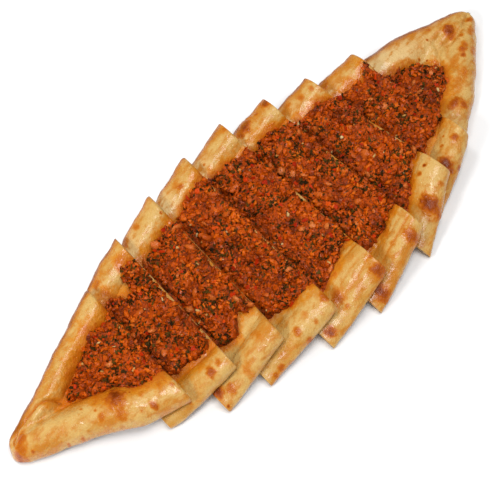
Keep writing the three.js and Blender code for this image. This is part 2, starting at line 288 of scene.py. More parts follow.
@dataclass(frozen=True)
class Bread:
    """The whole bread and how it is cut and laid. The numbers are those of the frame's solids."""

    slices: tuple[Slice, ...] = (
        Slice(
            95, -207.5, 20.5, -6, 0.03,
            ((0, 0.8), (38, -0.5), (74, 5.5), (95, 4.2)),
            ((0, 3.4), (18, 1.2), (38, -0.8), (62, 0), (82, 1.6)),
            near=((42, -2.5), (56, 3.5), (68, 3), (77, 7), (87, 5.5), (94, 3)),
            far=((42, -2.5), (54, -1), (64, 1), (72, 2), (78, 5), (86, -0.5), (92, -1), (96, 2)),
            filled=(40.5, math.inf), soft_end=2.6, soak=14, toast=(0.4, 0.3), scorch_and_shade=1,
        ),
        Slice(
            51, -129.5, 13.5, -7, 0.2, ((0, -1.4),), ((20, 2.2), (50, 1)),
            near=((24, -4), (34, -2.5), (40, 0), (50, -3)),
            far=((20, 4), (27, 1), (30, -6), (37, -9), (39, 1), (42, 5.5), (46, 4), (50, 0)),
            soak=15, toast=(-0.5, 0.0), scorch_and_shade=0.95,
        ),
        Slice(
            52, -97.5, 10.5, -7.5, 0.28, ((0, 0.2),), ((20, 2.4), (50, 1)),
            near=((20, -9), (27, -5), (34, -3), (38, -8), (41, -10.5), (50, -7)),
            far=((22, 2), (32, 0), (43, 0.5), (50, -2)), soft_end=2.4, toast=(0.6, 0.0),
        ),
        Slice(
            59, -70.5, 8.5, -6.5, 0.22, ((0, 0.2),), ((25, 1.8), (56, 0.8)),
            near=((26, -5), (37, -2), (46, 2), (58, 6)),
            far=((26, 3.5), (32, 1), (42, 3.5), (57, 2)), soft_end=2.8,
        ),
        Slice(
            55, -31, 3.5, -4, 0.2, ((0, 0.5),), ((25, 1.6), (52, 0.9)),
            near=((22, 8.5), (33, 6.5), (42, 4), (46, -2), (53, -3)),
            far=((22, 6), (30, 3), (40, 1.5), (50, -2.5)),
        ),
        Slice(
            56, 2.5, -0.5, -2, 0.2, ((0, 0.7),), ((25, 1.2), (52, 0.5)),
            near=((23, -4.5), (37, 0), (48, 0), (55, 2)),
            far=((22, 8.5), (28, 1), (33, 4.5), (42, 3.5), (53, -2)), toast=(0.5, 0.4),
        ),
        Slice(
            50.5, 44, -4.5, 3.5, 0.21, ((0, 0.3),), ((22, 3), (48, 0.6)),
            near=((19, 3.5), (28, 3), (40, -2), (48, -1)),
            far=((19, 8), (35, 4.5), (40, 6), (48, -1)), toast=(0.4, 0.4),
        ),
        Slice(
            53.5, 72.5, -3.5, 1, 0.2, ((0, -0.8),), ((22, 4.2), (48, 0.6)),
            near=((27, -2.5), (34, -5), (42, -2.5), (51, 1)),
            far=((21, 9), (32, 6), (38, 7.5), (42, 3.5), (50, 9)), soft_end=1.6, toast=(0.3, 0.7),
        ),
        Slice(
            101, 107.5, 7.5, 2, 0.14,
            ((0, 2.6), (42, 2.6), (66, 1.2), (92, 0)), ((20, 2.8), (52, 2.6), (84, 0.3)),
            near=((21, 5), (32, 3), (43, 6.5), (50, 3)),
            far=((20, 8), (26, 4), (36, 2), (43, 1), (46, -4), (50, -7)),
            filled=(0.0, 51.0), fresh=75, toast=(0.6, 0.0), scorch_and_shade=1,
        ),
    )
    cut_widths: tuple[float, ...] = (88, 111, 123, 137, 141, 131, 110, 94)
    end_slopes: tuple[float, float] = (1.6, 1.75)
    tip_radius: float = 6
    tip_swell: float = 2.5
    tip_fade: float = 30
    base: float = 3.2
    far_width: tuple[float, ...] = (17, 18, 19, 20, 20, 20, 20, 20, 21)
    far_height: tuple[float, ...] = (11, 9.5, 9.5, 9.5, 9.5, 9.5, 9.5, 9.5, 10.5)
    near_width: tuple[float, ...] = (23, 20, 20, 22, 33, 21, 24, 22, 22)
    near_height: tuple[float, ...] = (13.5, 10, 10, 10, 9, 9.5, 10, 10, 10.5)
    pressed_height: float = 7.8
    pressed_reach: float = 18
    pressed_release: float = 14
    fold_shift: float = 9
    fold_reach: float = 62
    lowest_roll: float = 3
    dome_reach: float = 1.3
    gap: float = 0.3

    @property
    def cuts(self) -> np.ndarray:
        """Places of the cuts along the bread, with both ends."""
        return np.concatenate([[0.0], np.cumsum([one.length for one in self.slices])])

    @property
    def middles(self) -> np.ndarray:
        """Middle of each slice along the bread."""
        return (self.cuts[1:] + self.cuts[:-1]) / 2

    def along(self, values: Sequence[float], s: np.ndarray) -> np.ndarray:
        """A value given for each slice, blended along the bread."""
        at = np.clip(np.searchsorted(self.middles, s, side="right"), 1, len(values) - 1)
        share = smooth(0, 1, (s - self.middles[at - 1]) / (self.middles[at] - self.middles[at - 1]))
        values = np.asarray(values, dtype=float)
        return blend(values[at - 1], values[at], share)

    def to_tip(self, s: np.ndarray) -> np.ndarray:
        """Distance to the nearer pointed end, at least 0."""
        return np.maximum(np.minimum(s, self.cuts[-1] - s), 0)

    def bulge(self, index: int, s: np.ndarray, side: Number) -> np.ndarray:
        """How far a slice's roll bulges past the bread's outline."""
        one = self.slices[index]
        near, far = (between(pairs, s - self.cuts[index]) for pairs in (one.near_bulge, one.far_bulge))
        return np.where(np.asarray(side) > 0, far, near)

    def outer_edge(self, index: int, s: np.ndarray, side: Number) -> np.ndarray:
        """From the middle line to a slice's outer edge on its near (-1) or far (1) side.

        Half of the bread's width is a smooth curve through the cut widths, with blunt ends.
        """
        cuts, widths = self.cuts, np.array([0.0, *self.cut_widths, 0.0])
        inner = (widths[2:] - widths[:-2]) / (cuts[2:] - cuts[:-2])
        slopes = np.array([self.end_slopes[0], *inner, -self.end_slopes[1]])
        at = np.clip(np.searchsorted(cuts, s, side="right") - 1, 0, len(cuts) - 2)
        span = cuts[at + 1] - cuts[at]
        share = (s - cuts[at]) / span
        rest = 1 - share
        start = widths[at] * (1 + 2 * share) + slopes[at] * span * share
        end = widths[at + 1] * (1 + 2 * rest) - slopes[at + 1] * span * rest
        half = (rest**2 * start + share**2 * end) / 2
        to_tip = self.to_tip(s)
        half += self.tip_swell * (1 - smooth(0, self.tip_fade, to_tip)) + self.bulge(index, s, side)
        return half * arch(to_tip / self.tip_radius)

    def roll(self, index: int, s: np.ndarray, side: int) -> Roll:
        """The crust roll of a slice on its near (-1) or far (1) side."""
        widths, heights = (
            (self.far_width, self.far_height) if side > 0 else (self.near_width, self.near_height)
        )
        half = self.outer_edge(index, s, side)
        slope = (self.outer_edge(index, s + 1, side) - self.outer_edge(index, s - 1, side)) / 2
        width = self.along(widths, s) * np.hypot(1, slope) + self.bulge(index, s, side)
        full = self.along(heights, s)
        released = smooth(0, self.pressed_release, s - self.cuts[index] - self.pressed_reach)
        pressed = full if index == 0 else np.minimum(full, self.pressed_height)
        dome = arch(half / (full * self.dome_reach))
        height = np.maximum(blend(pressed, full, released) * dome, self.lowest_roll)
        seam = self.fold_shift * (1 - smooth(0, self.fold_reach, s)) * np.minimum(1, half / width)
        return Roll(half, width, height, half - side * seam - self.gap)

    def middle_line(self, index: int, s: np.ndarray) -> np.ndarray:
        """Sideways place of the bread's middle in the frame of one slice."""
        return self.slices[index].lean * (s - self.middles[index])

    def filling_edge(self, index: int, s: np.ndarray, side: int) -> np.ndarray:
        """Sideways place of the filling's edge in the frame of one slice."""
        roll = self.roll(index, s, side)
        pairs = self.slices[index].far if side > 0 else self.slices[index].near
        reach = np.interp(s - self.cuts[index], *zip(*pairs))
        return self.middle_line(index, s) + side * (roll.half - roll.foot + reach)


@dataclass(frozen=True)
class Laid:
    """One slice where it lies: its own placing, and that of the slice that lies on it."""

    bread: Bread
    index: int
    matrix: Matrix
    above: Matrix | None

    CLEARANCE = 0.12

    def pressed(self, points: np.ndarray) -> np.ndarray:
        """Presses points of the top flat where the slice above lies on them.

        Args:
            points: in the slice's own frame.

        Returns:
            The new points.
        """
        if self.above is None:
            return points
        there = self.above.inverted() @ self.matrix
        seen = placed(points, there)
        upper = self.index - 1
        s = seen[..., 0] + self.bread.cuts[upper]
        aside = seen[..., 1] - self.bread.middle_line(upper, s)
        over = (seen[..., 0] > 0) & (seen[..., 0] < self.bread.slices[upper].length)
        over &= np.abs(aside) < self.bread.outer_edge(upper, s, aside)
        seen[..., 2] = np.where(over, np.minimum(seen[..., 2], -self.CLEARANCE), seen[..., 2])
        return placed(seen, there.inverted())

    def beyond_above(self, points: np.ndarray) -> np.ndarray:
        """How far points, in metres, lie past the right cut of the slice above, in millimetres."""
        if self.above is None:
            return np.full(points.shape[:-1], np.inf)
        return placed(points, self.above.inverted())[..., 0] - self.bread.slices[self.index - 1].length


# ---- meshes -----------------------------------------------------------------------------------
def linked(name: str, data: bpy.types.ID) -> bpy.types.Object:
    """A new object in the scene."""
    made = bpy.data.objects.new(name, data)
    bpy.context.scene.collection.objects.link(made)
    return made


def make_object(
    name: str,
    vertices: np.ndarray,
    faces: np.ndarray,
    materials: Sequence[bpy.types.Material],
    face_materials: np.ndarray | None = None,
    values: dict[str, np.ndarray] | None = None,
    sharp_angle: float | None = None,
) -> bpy.types.Object:
    """A mesh object with named values on its points.

    Args:
        name: the object's name.
        vertices: n rows of x, y, z in metres.
        faces: rows of four vertex numbers.
        materials: its material slots.
        face_materials: the slot of each face.
        values: named numbers for each point.
        sharp_angle: edges sharper than this angle in radians stay hard.

    Returns:
        The linked object.
    """
    mesh = bpy.data.meshes.new(name)
    mesh.from_pydata(vertices.tolist(), [], faces.tolist())
    for material in materials:
        mesh.materials.append(material)
    if face_materials is not None:
        mesh.polygons.foreach_set("material_index", face_materials.astype(np.int32))
    for key, numbers in (values or {}).items():
        mesh.attributes.new(key, "FLOAT", "POINT").data.foreach_set("value", numbers.astype(np.float32))
    mesh.polygons.foreach_set("use_smooth", np.ones(len(mesh.polygons), dtype=bool))
    if sharp_angle is not None:
        mesh.set_sharp_from_angle(angle=sharp_angle)
    mesh.update()
    return linked(name, mesh)


def quads_of(number: np.ndarray) -> np.ndarray:
    """Quads between the rows and columns of a table of vertex numbers, facing +Z where rows run
    along +X and columns along +Y."""
    corners = [number[:-1, :-1], number[1:, :-1], number[1:, 1:], number[:-1, 1:]]
    return np.stack([corner.ravel() for corner in corners], axis=1)


def slab_faces(rows: int, columns: int) -> list[np.ndarray]:
    """The top, the underside and the walls between a grid of points and its copy below."""
    number = np.arange(rows * columns).reshape(rows, columns)
    rim = np.concatenate([number[0, :-1], number[:-1, -1], number[-1, :0:-1], number[:0:-1, 0]])
    after = np.roll(rim, -1)
    walls = np.stack([rim, after, after + number.size, rim + number.size], axis=1)
    return [quads_of(number), quads_of(number + number.size)[:, ::-1], walls]


def grid_normals(points: np.ndarray) -> np.ndarray:
    """Unit normals of a rows x columns x 3 grid of points."""
    normal = np.cross(np.gradient(points, axis=0), np.gradient(points, axis=1))
    return normal / np.maximum(np.linalg.norm(normal, axis=2, keepdims=True), TINY)


@dataclass(frozen=True)
class Spot:
    """A spot of crust that browned in the oven, or rose as a blister, in the frame of its slice.

    brown runs from 0.2, a tan freckle, to 1, a dark blister. A stretched spot is longer than wide
    along a line that is turned from x by some degrees. Spans are in shares of the radius.
    """

    BLISTER = (0.2, 1.2)
    CORE = (0.1, 1.25)
    HALO = (0.5, 2.3)
    HALO_SHARE = 0.3

    x: float
    y: float
    radius: float
    brown: float
    rise: float = 0.0
    stretch: float = 1.0
    turn: float = 0.0

    def distance(self, x: np.ndarray, y: np.ndarray) -> np.ndarray:
        """Distance from the middle, as a share of the radius."""
        angle = math.radians(self.turn)
        along = (x - self.x) * math.cos(angle) + (y - self.y) * math.sin(angle)
        across = (y - self.y) * math.cos(angle) - (x - self.x) * math.sin(angle)
        return np.hypot(along / self.stretch, across) / self.radius

    def swelling(self, distance: np.ndarray) -> np.ndarray:
        """How high it rises at a distance from its middle."""
        return self.rise * (1 - smooth(*self.BLISTER, distance))

    def browning(self, distance: np.ndarray) -> np.ndarray:
        """How brown it is at a distance from its middle: a core with a faint halo."""
        core = self.brown * (1 - smooth(*self.CORE, distance))
        halo = self.HALO_SHARE * self.brown * (1 - smooth(*self.HALO, distance))
        return core + halo * (1 - core)


SPOTS: dict[int, tuple[Spot, ...]] = {
    1: (
        Spot(64, -18, 6.2, 0.95, 1.5), Spot(51, -16, 1.2, 0.5), Spot(46, -9, 1.1, 0.4),
        Spot(60, -27, 4.0, 0.4, 0.0, 1.4, 70), Spot(7, -3, 5.0, 0.42, 0.0, 1.6, 60),
        Spot(3, -4, 3.0, 0.6, 0.0, 1.4, 70), Spot(36, -21, 1.6, 0.4), Spot(28, -18, 1.2, 0.4),
        Spot(51, -21, 2.4, 0.4, 0.2, 1.5, 60), Spot(62, -28, 2.2, 0.35), Spot(70, -34, 1.5, 0.35),
        Spot(77, -36, 2.4, 0.6, 0.2, 1.5, 80), Spot(87, -29, 3.0, 0.35), Spot(92, -34, 2.2, 0.35),
        Spot(76, -26, 2.4, 0.3), Spot(72, -21, 0.8, 0.9), Spot(36, 3, 2.6, 0.3),
        Spot(11, 1, 3.6, 0.5, 0.0, 1.5, 30), Spot(11, -8, 1.3, 0.5),
        Spot(30, -12, 5.0, 0.22, 0.0, 1.6, 10), Spot(88, -20, 3.0, 0.25),
    ),
    2: (
        Spot(38, -42, 3.6, 0.65, 0.4, 1.2, 60), Spot(45, -41, 3.2, 0.4), Spot(18, -46, 1.5, 0.35),
        Spot(24, 47, 4.0, 0.4, 0.0, 1.5, 40), Spot(48, 47, 1.5, 0.35),
    ),
    3: (
        Spot(3, -51, 4.5, 0.85), Spot(10, -55, 4.0, 0.5, 0.2), Spot(2, -61, 1.3, 0.8),
        Spot(41, -43, 5.0, 0.28, 0.0, 1.5, 90), Spot(33, 58, 3.0, 0.4), Spot(21, 57, 4.4, 0.65),
        Spot(50, 54, 1.0, 0.6), Spot(24, -54, 4.0, 0.3, 0.3, 1.6, 80),
    ),
    4: (
        Spot(34, -65, 2.6, 0.5, 0.2), Spot(32, -57, 2.6, 0.45, 0.3, 1.4, 80), Spot(44, -60, 2.0, 0.35),
        Spot(42, -53, 3.0, 0.3), Spot(11, -65, 2.6, 0.5), Spot(6, -66, 2.4, 0.45),
        Spot(44, 60, 2.2, 0.5), Spot(42, 62, 4.2, 0.35), Spot(58, -53, 4.5, 0.5, 0.4),
    ),
    5: (
        Spot(5, -67, 4.0, 0.8), Spot(53, 70, 3.0, 0.35), Spot(29, 63, 1.2, 0.4),
        Spot(23, -56, 5.5, 0.5, 0.3, 1.3, 60), Spot(23, -64, 3.0, 0.35, 0.4), Spot(54, -54, 1.8, 0.5),
        Spot(51, -62, 4.6, 0.72, 1.1, 1.5, 20),
    ),
    6: (
        Spot(34, 66, 5.0, 0.95, 0.8, 1.5, 30), Spot(54, 67, 4.0, 0.9), Spot(45, 66, 1.8, 0.6),
        Spot(46, -60, 5.0, 0.65, 0.8, 1.3, 70), Spot(9, -68, 5.5, 0.85, 0.3, 1.5, 80),
        Spot(6, -72, 3.0, 0.55), Spot(35, -55, 3.0, 0.3),
    ),
    7: (
        Spot(44, -36, 1.1, 1.0), Spot(38, -37, 1.8, 0.55), Spot(25, -53, 6.0, 0.95, 1.6, 1.5, 70),
        Spot(40, -51, 3.0, 0.35, 0.5), Spot(29, 58, 3.4, 0.4), Spot(38, 54, 3.0, 0.4),
        Spot(24, 57, 3.0, 0.35), Spot(46, 52, 2.6, 0.35),
    ),
    8: (
        Spot(45, -36, 3.0, 0.6, 0.5), Spot(42, -30, 1.0, 0.4), Spot(36, -33, 1.5, 0.4),
        Spot(28, -43, 5.2, 0.92, 1.1, 1.2, 60), Spot(25, 53, 4.4, 0.85, 0.4), Spot(46, 51, 3.6, 0.4),
        Spot(36, 52, 3.2, 0.35), Spot(32, -50, 2.0, 0.6),
    ),
    9: (
        Spot(32, -29, 4.8, 0.68, 0.5, 1.2, 0), Spot(36, -33, 3.8, 0.6), Spot(69, -8, 3.4, 0.6, 0.3),
        Spot(73, -7, 3.0, 0.45), Spot(66, -11, 2.3, 0.65), Spot(76, 7, 4.0, 0.85, 0.9, 1.4, 60),
        Spot(68, 18, 2.4, 0.45), Spot(61, 14, 0.9, 0.9), Spot(78, -1, 2.0, 0.45),
        Spot(48, 10, 0.7, 1.0), Spot(51, 6, 0.7, 1.0), Spot(62, 26, 5.0, 0.3, 0.0, 1.5, 0),
        Spot(45, -21, 4.5, 0.32, 0.0, 1.7, 20), Spot(55, -20, 4.0, 0.34, 0.0, 1.6, 40),
        Spot(58, -9, 4.0, 0.3, 0.0, 1.6, 30), Spot(86, -3, 3.6, 0.36, 0.0, 1.4, 10),
        Spot(93, 3, 2.6, 0.55), Spot(24, -27, 3.0, 0.3), Spot(74, -14, 3.4, 0.34, 0.0, 1.5, 30),
    ),
}


@dataclass(frozen=True)
class Crease:
    """A fold line in the crust, in the frame of its slice: half width, depth and darkening, which is
    partly browning and partly painted shade in the fold.
    """

    points: Pairs
    width: float
    depth: float
    brown: float = 0.22

    def closeness(self, x: np.ndarray, y: np.ndarray) -> np.ndarray:
        """1 on the line, falling softly to 0 about two widths away."""
        nearest = np.full(x.shape, np.inf)
        for (x0, y0), (x1, y1) in zip(self.points, self.points[1:]):
            length = math.hypot(x1 - x0, y1 - y0)
            along = np.clip(((x - x0) * (x1 - x0) + (y - y0) * (y1 - y0)) / length**2, 0, 1)
            nearest = np.minimum(nearest, np.hypot(x - blend(x0, x1, along), y - blend(y0, y1, along)))
        return np.exp(-((nearest / self.width) ** 2))


CREASES: dict[int, tuple[Crease, ...]] = {
    1: (
        Crease(((5, 3), (12, 8), (20, 10), (30, 11), (35, 9), (40, 5)), 1.3, 2.0, 0.4),
        Crease(((14, 2), (22, 4), (34, 3)), 1.6, 0.6, 0.15),
    ),
    2: (
        Crease(((24, -28), (34, -30), (45, -31)), 0.9, 0.5),
    ),
    3: (
        Crease(((20, -42), (30, -39), (40, -37)), 0.9, 0.5),
    ),
    4: (
        Crease(((27, -42), (38, -38), (52, -40)), 0.9, 0.4),
    ),
    5: (
        Crease(((30, -43), (40, -42), (54, -41)), 1.1, 0.5, 0.3),
        Crease(((22, -59), (38, -57), (54, -53)), 1.6, 0.4, 0.3),
        Crease(((30, -52), (42, -50), (48, -49)), 1.4, 0.2, 0.25),
    ),
    6: (
        Crease(((24, -57), (35, -55), (54, -51)), 1.5, 0.4, 0.34),
        Crease(((36, -49), (52, -47)), 1.2, 0.3, 0.25),
        Crease(((46, -61), (38, -64), (30, -66)), 1.6, 0.2, 0.3),
    ),
    9: (
        Crease(((34, -24), (44, -25), (54, -21)), 2.2, 0.3, 0.3),
        Crease(((52, -18), (60, -10), (68, -8)), 2.4, 0.3, 0.3),
        Crease(((56, -12), (60, -3), (68, 2)), 2.0, 0.2, 0.25),
        Crease(((53, -3), (57, 2), (64, 4), (72, 2), (84, 2), (95, 5)), 1.8, 1.6, 0.12),
        Crease(((58, 2), (63, 9), (70, 10)), 1.5, 0.8, 0.1),
    ),
}


@dataclass
class Dough:
    """Makes the dough of the slices: base, crust rolls, cut faces and the marks of baking."""

    bread: Bread
    crust: bpy.types.Material
    crumb: bpy.types.Material
    noise: Noise = field(default_factory=lambda: Noise(7))
    step: float = 0.6
    end_steps: tuple[float, ...] = (0.0, 0.12, 0.3, 0.55, 0.9, 1.3)
    low_points: int = 6
    high_points: int = 20
    inner_points: int = 24
    pan_points: int = 34
    cut_rows: int = 7
    cut_depth: float = 0.1
    slice_shift: float = 40.0
    swells: tuple[Ripple, ...] = (Ripple(0.8, 19), Ripple(0.45, 8, 5.5))
    wrinkles: tuple[Ripple, ...] = (Ripple(0.12, 2.6, 11.5, 0.5), Ripple(0.14, 1.9, 17.5))
    ragged: tuple[Ripple, ...] = (Ripple(0.32, 4.5, 23.5), Ripple(0.3, 1.9, 29.5))
    fingers: tuple[Ripple, ...] = (Ripple(3.2, 7, 31.5), Ripple(2.4, 2.4, 37.5))
    pores: tuple[Ripple, ...] = (Ripple(0.35, 2.4, 41.5), Ripple(0.2, 1.1, 43.5))
    swell_brown: float = 0.2
    swell_fade: Span = (0.1, 0.9)
    upper_fade: Span = (5, 8)
    foot_fade: Span = (0.2, 3.0)
    crease_wander: float = 0.5
    # near_outer sets how far the near outer edge darkens: partly browning, partly painted shade at the
    # table.
    near_outer: float = 0.22
    soak_start: float = -1.0
    covered: float = -1.5
    covered_oil: Span = (0.25, 0.35)
    clean_cut: Span = (0.5, 4.5)
    side_fade: float = 20
    fresh_start: float = 1
    left_softness: float = 0.6
    round_depth: float = 0.8
    flat_reach: float = 1.5
    sharp_angle: float = 48
    tip_round: float = 5.0
    tip_inset: float = 0.02
    seam_rise: Span = (2.5, 5.0)
    left_seam: Span = (-11, 1)
    right_seam: Span = (-5, 9)
    seam_least: float = 0.01
    seam_softness: float = 1.6
    seam_step: float = 0.4

    def stations(self, index: int) -> np.ndarray:
        """Places along the bread where a slice's surface has a row of points."""
        start, end = self.bread.cuts[index], self.bread.cuts[index + 1]
        steps = np.array(self.end_steps)
        inside = np.linspace(start + steps[-1], end - steps[-1], int((end - start) / self.step))
        s = np.concatenate([start + steps[:-1], inside, end - steps[-2::-1]])
        return np.clip(s, self.tip_inset, self.bread.cuts[-1] - self.tip_inset)

    def surface(self, index: int, s: np.ndarray) -> np.ndarray:
        """The smooth top of a slice, from its near contact with the table to its far one.

        Args:
            index: the slice's number, from 0.
            s: places along the bread.

        Returns:
            A rows x columns x 3 grid.
        """
        middle = self.bread.middle_line(index, s)[:, None]
        sides = []
        for side in (NEAR, FAR):
            roll = self.bread.roll(index, s, side).columns()
            counts = self.low_points, self.high_points, self.inner_points
            inward, height = roll.chain(self.bread.base, *counts)
            sides.append((middle + side * (roll.half - inward), height))
        (near_y, near_z), (far_y, far_z) = sides
        share = np.linspace(0, 1, self.pan_points + 2)[1:-1]
        y = np.hstack([near_y, blend(near_y[:, -1:], far_y[:, -1:], share), far_y[:, ::-1]])
        z = np.hstack([near_z, blend(near_z[:, -1:], far_z[:, -1:], share), far_z[:, ::-1]])
        x = np.broadcast_to((s - self.bread.cuts[index])[:, None], y.shape)
        outer = self.low_points + self.high_points
        seam = self.bread.base + self.seam_height(index, x)
        raised = seam + np.logaddexp(0, self.seam_softness * (z - seam)) / self.seam_softness
        pinched = (seam > self.bread.base + self.seam_least) & (np.arange(y.shape[1]) >= outer)
        pinched &= np.arange(y.shape[1]) < y.shape[1] - outer
        z = np.where(pinched, np.minimum(raised, np.maximum(z, seam) + self.seam_step), z)
        z = z * arch(self.bread.to_tip(s) / self.tip_round)[:, None]
        return np.stack([x, y, z], axis=2)

    def seam_height(self, index: int, x: np.ndarray) -> np.ndarray:
        """How far the dough is raised where the rolls are pinched together at the pointed ends."""
        first, last = self.bread.slices[index].filled
        left, right = self.seam_rise
        if index == 0:
            return left * (1 - smooth(*self.left_seam, x - first))
        if index == len(self.bread.slices) - 1:
            return right * smooth(*self.right_seam, x - last)
        return np.zeros_like(x)

    def baked(self, index: int, points: np.ndarray) -> tuple[np.ndarray, np.ndarray]:
        """The surface with the swelling, wrinkles and blisters of baking.

        Args:
            index: the slice's number, from 0.
            points: the smooth grid.

        Returns:
            The new grid and how brown each point is, with painted shade along the creases added in.
        """
        x, y, z = np.moveaxis(points, 2, 0)
        lift = self.varied(index, points, self.swells) + self.varied(index, points, self.wrinkles)
        ragged = self.varied(index, points, self.ragged)
        brown = self.swell_brown * smooth(*self.swell_fade, lift) * smooth(*self.upper_fade, z)
        for spot in SPOTS[index + 1]:
            distance = spot.distance(x, y) + ragged
            lift += spot.swelling(distance)
            brown = np.maximum(brown, spot.browning(distance))
        # Creases sink the surface and darken it along the fold: partly a browner streak, partly painted
        # shade.
        for crease in CREASES.get(index + 1, ()):
            close = crease.closeness(x, y + self.crease_wander * ragged)
            lift -= crease.depth * close
            brown = np.maximum(brown, crease.brown * close)
        lift *= smooth(*self.foot_fade, z)
        lift -= self.rounding(index, x)
        moved = points + grid_normals(points) * lift[..., None]
        moved[..., 0] = blend(x, moved[..., 0], self.away_from_cuts(index, x))
        moved[..., 2] = np.maximum(moved[..., 2], 0)
        return moved, brown

    def rounding(self, index: int, x: np.ndarray) -> np.ndarray:
        """How far the edges at the two cuts are rounded down."""
        one, total, edges = self.bread.slices[index], np.zeros_like(x), []
        if index > 0:
            edges.append((self.left_softness, x))
        if index < len(self.bread.slices) - 1:
            edges.append((one.soft_end, one.length - x))
        for radius, distance in edges:
            total += self.round_depth * radius * (1 - arch(distance / radius))
        return total

    def away_from_cuts(self, index: int, x: np.ndarray) -> np.ndarray:
        """0 at a slice's cuts and 1 away from them, so that the cut faces stay flat."""
        to_right = self.bread.slices[index].length - x
        return smooth(0, self.flat_reach, x) * smooth(0, self.flat_reach, to_right)

    def varied(self, index: int, points: np.ndarray, ripples: tuple[Ripple, ...]) -> np.ndarray:
        """Layers of noise on a slice, which differ from those on its neighbours."""
        shift = np.array([self.bread.cuts[index], 0, self.slice_shift * index])
        return self.noise.at(points + shift, *ripples)

    def aside(self, index: int, points: np.ndarray) -> np.ndarray:
        """How far points lie from the bread's middle line, towards the far side."""
        return points[..., 1] - self.bread.middle_line(index, points[..., 0] + self.bread.cuts[index])

    def oil(self, index: int, points: np.ndarray) -> np.ndarray:
        """How much red oil has soaked in from the filling, from 0 to 1."""
        one, x = self.bread.slices[index], points[..., 0]
        s = x + self.bread.cuts[index]
        outside = np.maximum(one.filled[0] - x, x - one.filled[1])
        for side in (NEAR, FAR):
            edge = self.bread.filling_edge(index, s.ravel(), side).reshape(s.shape)
            outside = np.maximum(outside, side * (points[..., 1] - edge))
        fingers = self.varied(index, points, self.fingers)
        soaked = 1 - smooth(self.soak_start, one.soak, outside + fingers)
        least, more = self.covered_oil
        under = least + more * smooth(*self.clean_cut, one.length - x)
        return np.where(outside < self.covered, under, soaked)

    def toast(self, index: int, points: np.ndarray) -> np.ndarray:
        """How much more mottled than usual the crust is."""
        share = smooth(-self.side_fade, self.side_fade, self.aside(index, points))
        return blend(*self.bread.slices[index].toast, share)

    def outer(self, index: int, points: np.ndarray) -> np.ndarray:
        """1 on the bread's outer edges, which are painted darkest, partly as browning and partly as
        painted shade, down to 0 on the rolls' crowns.
        """
        s = points[:, 0, 0] + self.bread.cuts[index]
        total = np.zeros(points.shape[:2])
        for side in (NEAR, FAR):
            roll = self.bread.roll(index, s, side).columns()
            inward = roll.half - side * self.aside(index, points)
            # Darkening towards the outer edges is partly browning and partly painted shade: at the table
            # on the near side, on the far slope facing away from the light.
            share = self.near_outer if side == NEAR else self.bread.slices[index].scorch_and_shade
            total = np.maximum(total, share * np.clip(1 - inward / roll.crown, 0, 1))
        return total

    def fresh(self, laid: Laid, points: np.ndarray) -> np.ndarray:
        """Pale places on the far crust beside the slice above, from 0 to 1."""
        past = laid.beyond_above(placed(points, laid.matrix))
        reach = self.bread.slices[laid.index].fresh
        far_side = smooth(0, self.side_fade, self.aside(laid.index, points))
        return (1 - smooth(self.fresh_start, reach, past)) * far_side

    def build(self, laid: Laid) -> bpy.types.Object:
        """The dough of one slice, where it lies."""
        index = laid.index
        smooth_top = self.surface(index, self.stations(index))
        top, brown = self.baked(index, smooth_top)
        top = laid.pressed(top)
        rows, columns, _ = top.shape
        under = top.copy()
        under[..., 1] = np.clip(top[..., 1], top[:, :1, 1], top[:, -1:, 1])
        under[..., 2] = 0
        number = np.arange(rows * columns).reshape(rows, columns)
        lower = rows * columns + np.arange(rows * (columns - 2)).reshape(rows, columns - 2)
        bottom = np.hstack([number[:, :1], lower, number[:, -1:]])
        vertices = [top.reshape(-1, 3), under[:, 1:-1].reshape(-1, 3)]
        faces = [quads_of(number), quads_of(bottom)[:, ::-1]]
        slots = [np.zeros(len(faces[0])), np.zeros(len(faces[1]))]
        count = rows * columns + lower.size
        for row, facing in ((0, -1), (rows - 1, 1)):
            added, cap = self.cut_face(top[row], bottom[row], number[row], count, facing)
            vertices.append(added)
            faces.append(cap)
            slots.append(np.ones(len(cap)))
            count += len(added)
        points = np.vstack(vertices)
        pad = np.zeros(len(points) - rows * columns)
        values = {
            "brown": brown, "oil": self.oil(index, smooth_top), "outer": self.outer(index, smooth_top),
            "fresh": self.fresh(laid, smooth_top), "toast": self.toast(index, smooth_top),
        }
        values = {name: np.concatenate([numbers.ravel(), pad]) for name, numbers in values.items()}
        values["height"] = points[:, 2]
        return make_object(
            f"crust_{index + 1}", placed(points, laid.matrix), np.vstack(faces), [self.crust, self.crumb],
            np.concatenate(slots), values, math.radians(self.sharp_angle),
        )

    def cut_face(
        self, top: np.ndarray, bottom: np.ndarray, upper: np.ndarray, first: int, facing: int
    ) -> tuple[np.ndarray, np.ndarray]:
        """The face that the knife left at one end of a slice, a little uneven.

        Args:
            top: points along its upper edge.
            bottom: vertex numbers along its lower edge.
            upper: vertex numbers along its upper edge.
            first: number of its first own vertex.
            facing: 1 at the right end, -1 at the left one.

        Returns:
            Its own vertices and its faces.
        """
        shares = np.linspace(0, 1, self.cut_rows + 2)[1:-1]
        lower = top.copy()
        lower[:, 1] = np.clip(top[:, 1], top[0, 1], top[-1, 1])
        lower[:, 2] = 0
        inner = blend(top[None, 1:-1], lower[None, 1:-1], shares[:, None, None])
        inner[..., 0] -= facing * (self.cut_depth + np.abs(self.noise.at(inner, *self.pores)))
        own = first + np.arange(inner[..., 0].size).reshape(self.cut_rows, -1)
        ends = [np.repeat(upper[[end]], self.cut_rows)[:, None] for end in (0, -1)]
        table = np.vstack([upper[None], np.hstack([ends[0], own, ends[1]]), bottom[None]])
        quads = quads_of(table)
        if facing < 0:
            quads = quads[:, ::-1]
        distinct = np.array([len(set(quad)) == 4 for quad in quads.tolist()])
        return inner.reshape(-1, 3), quads[distinct]


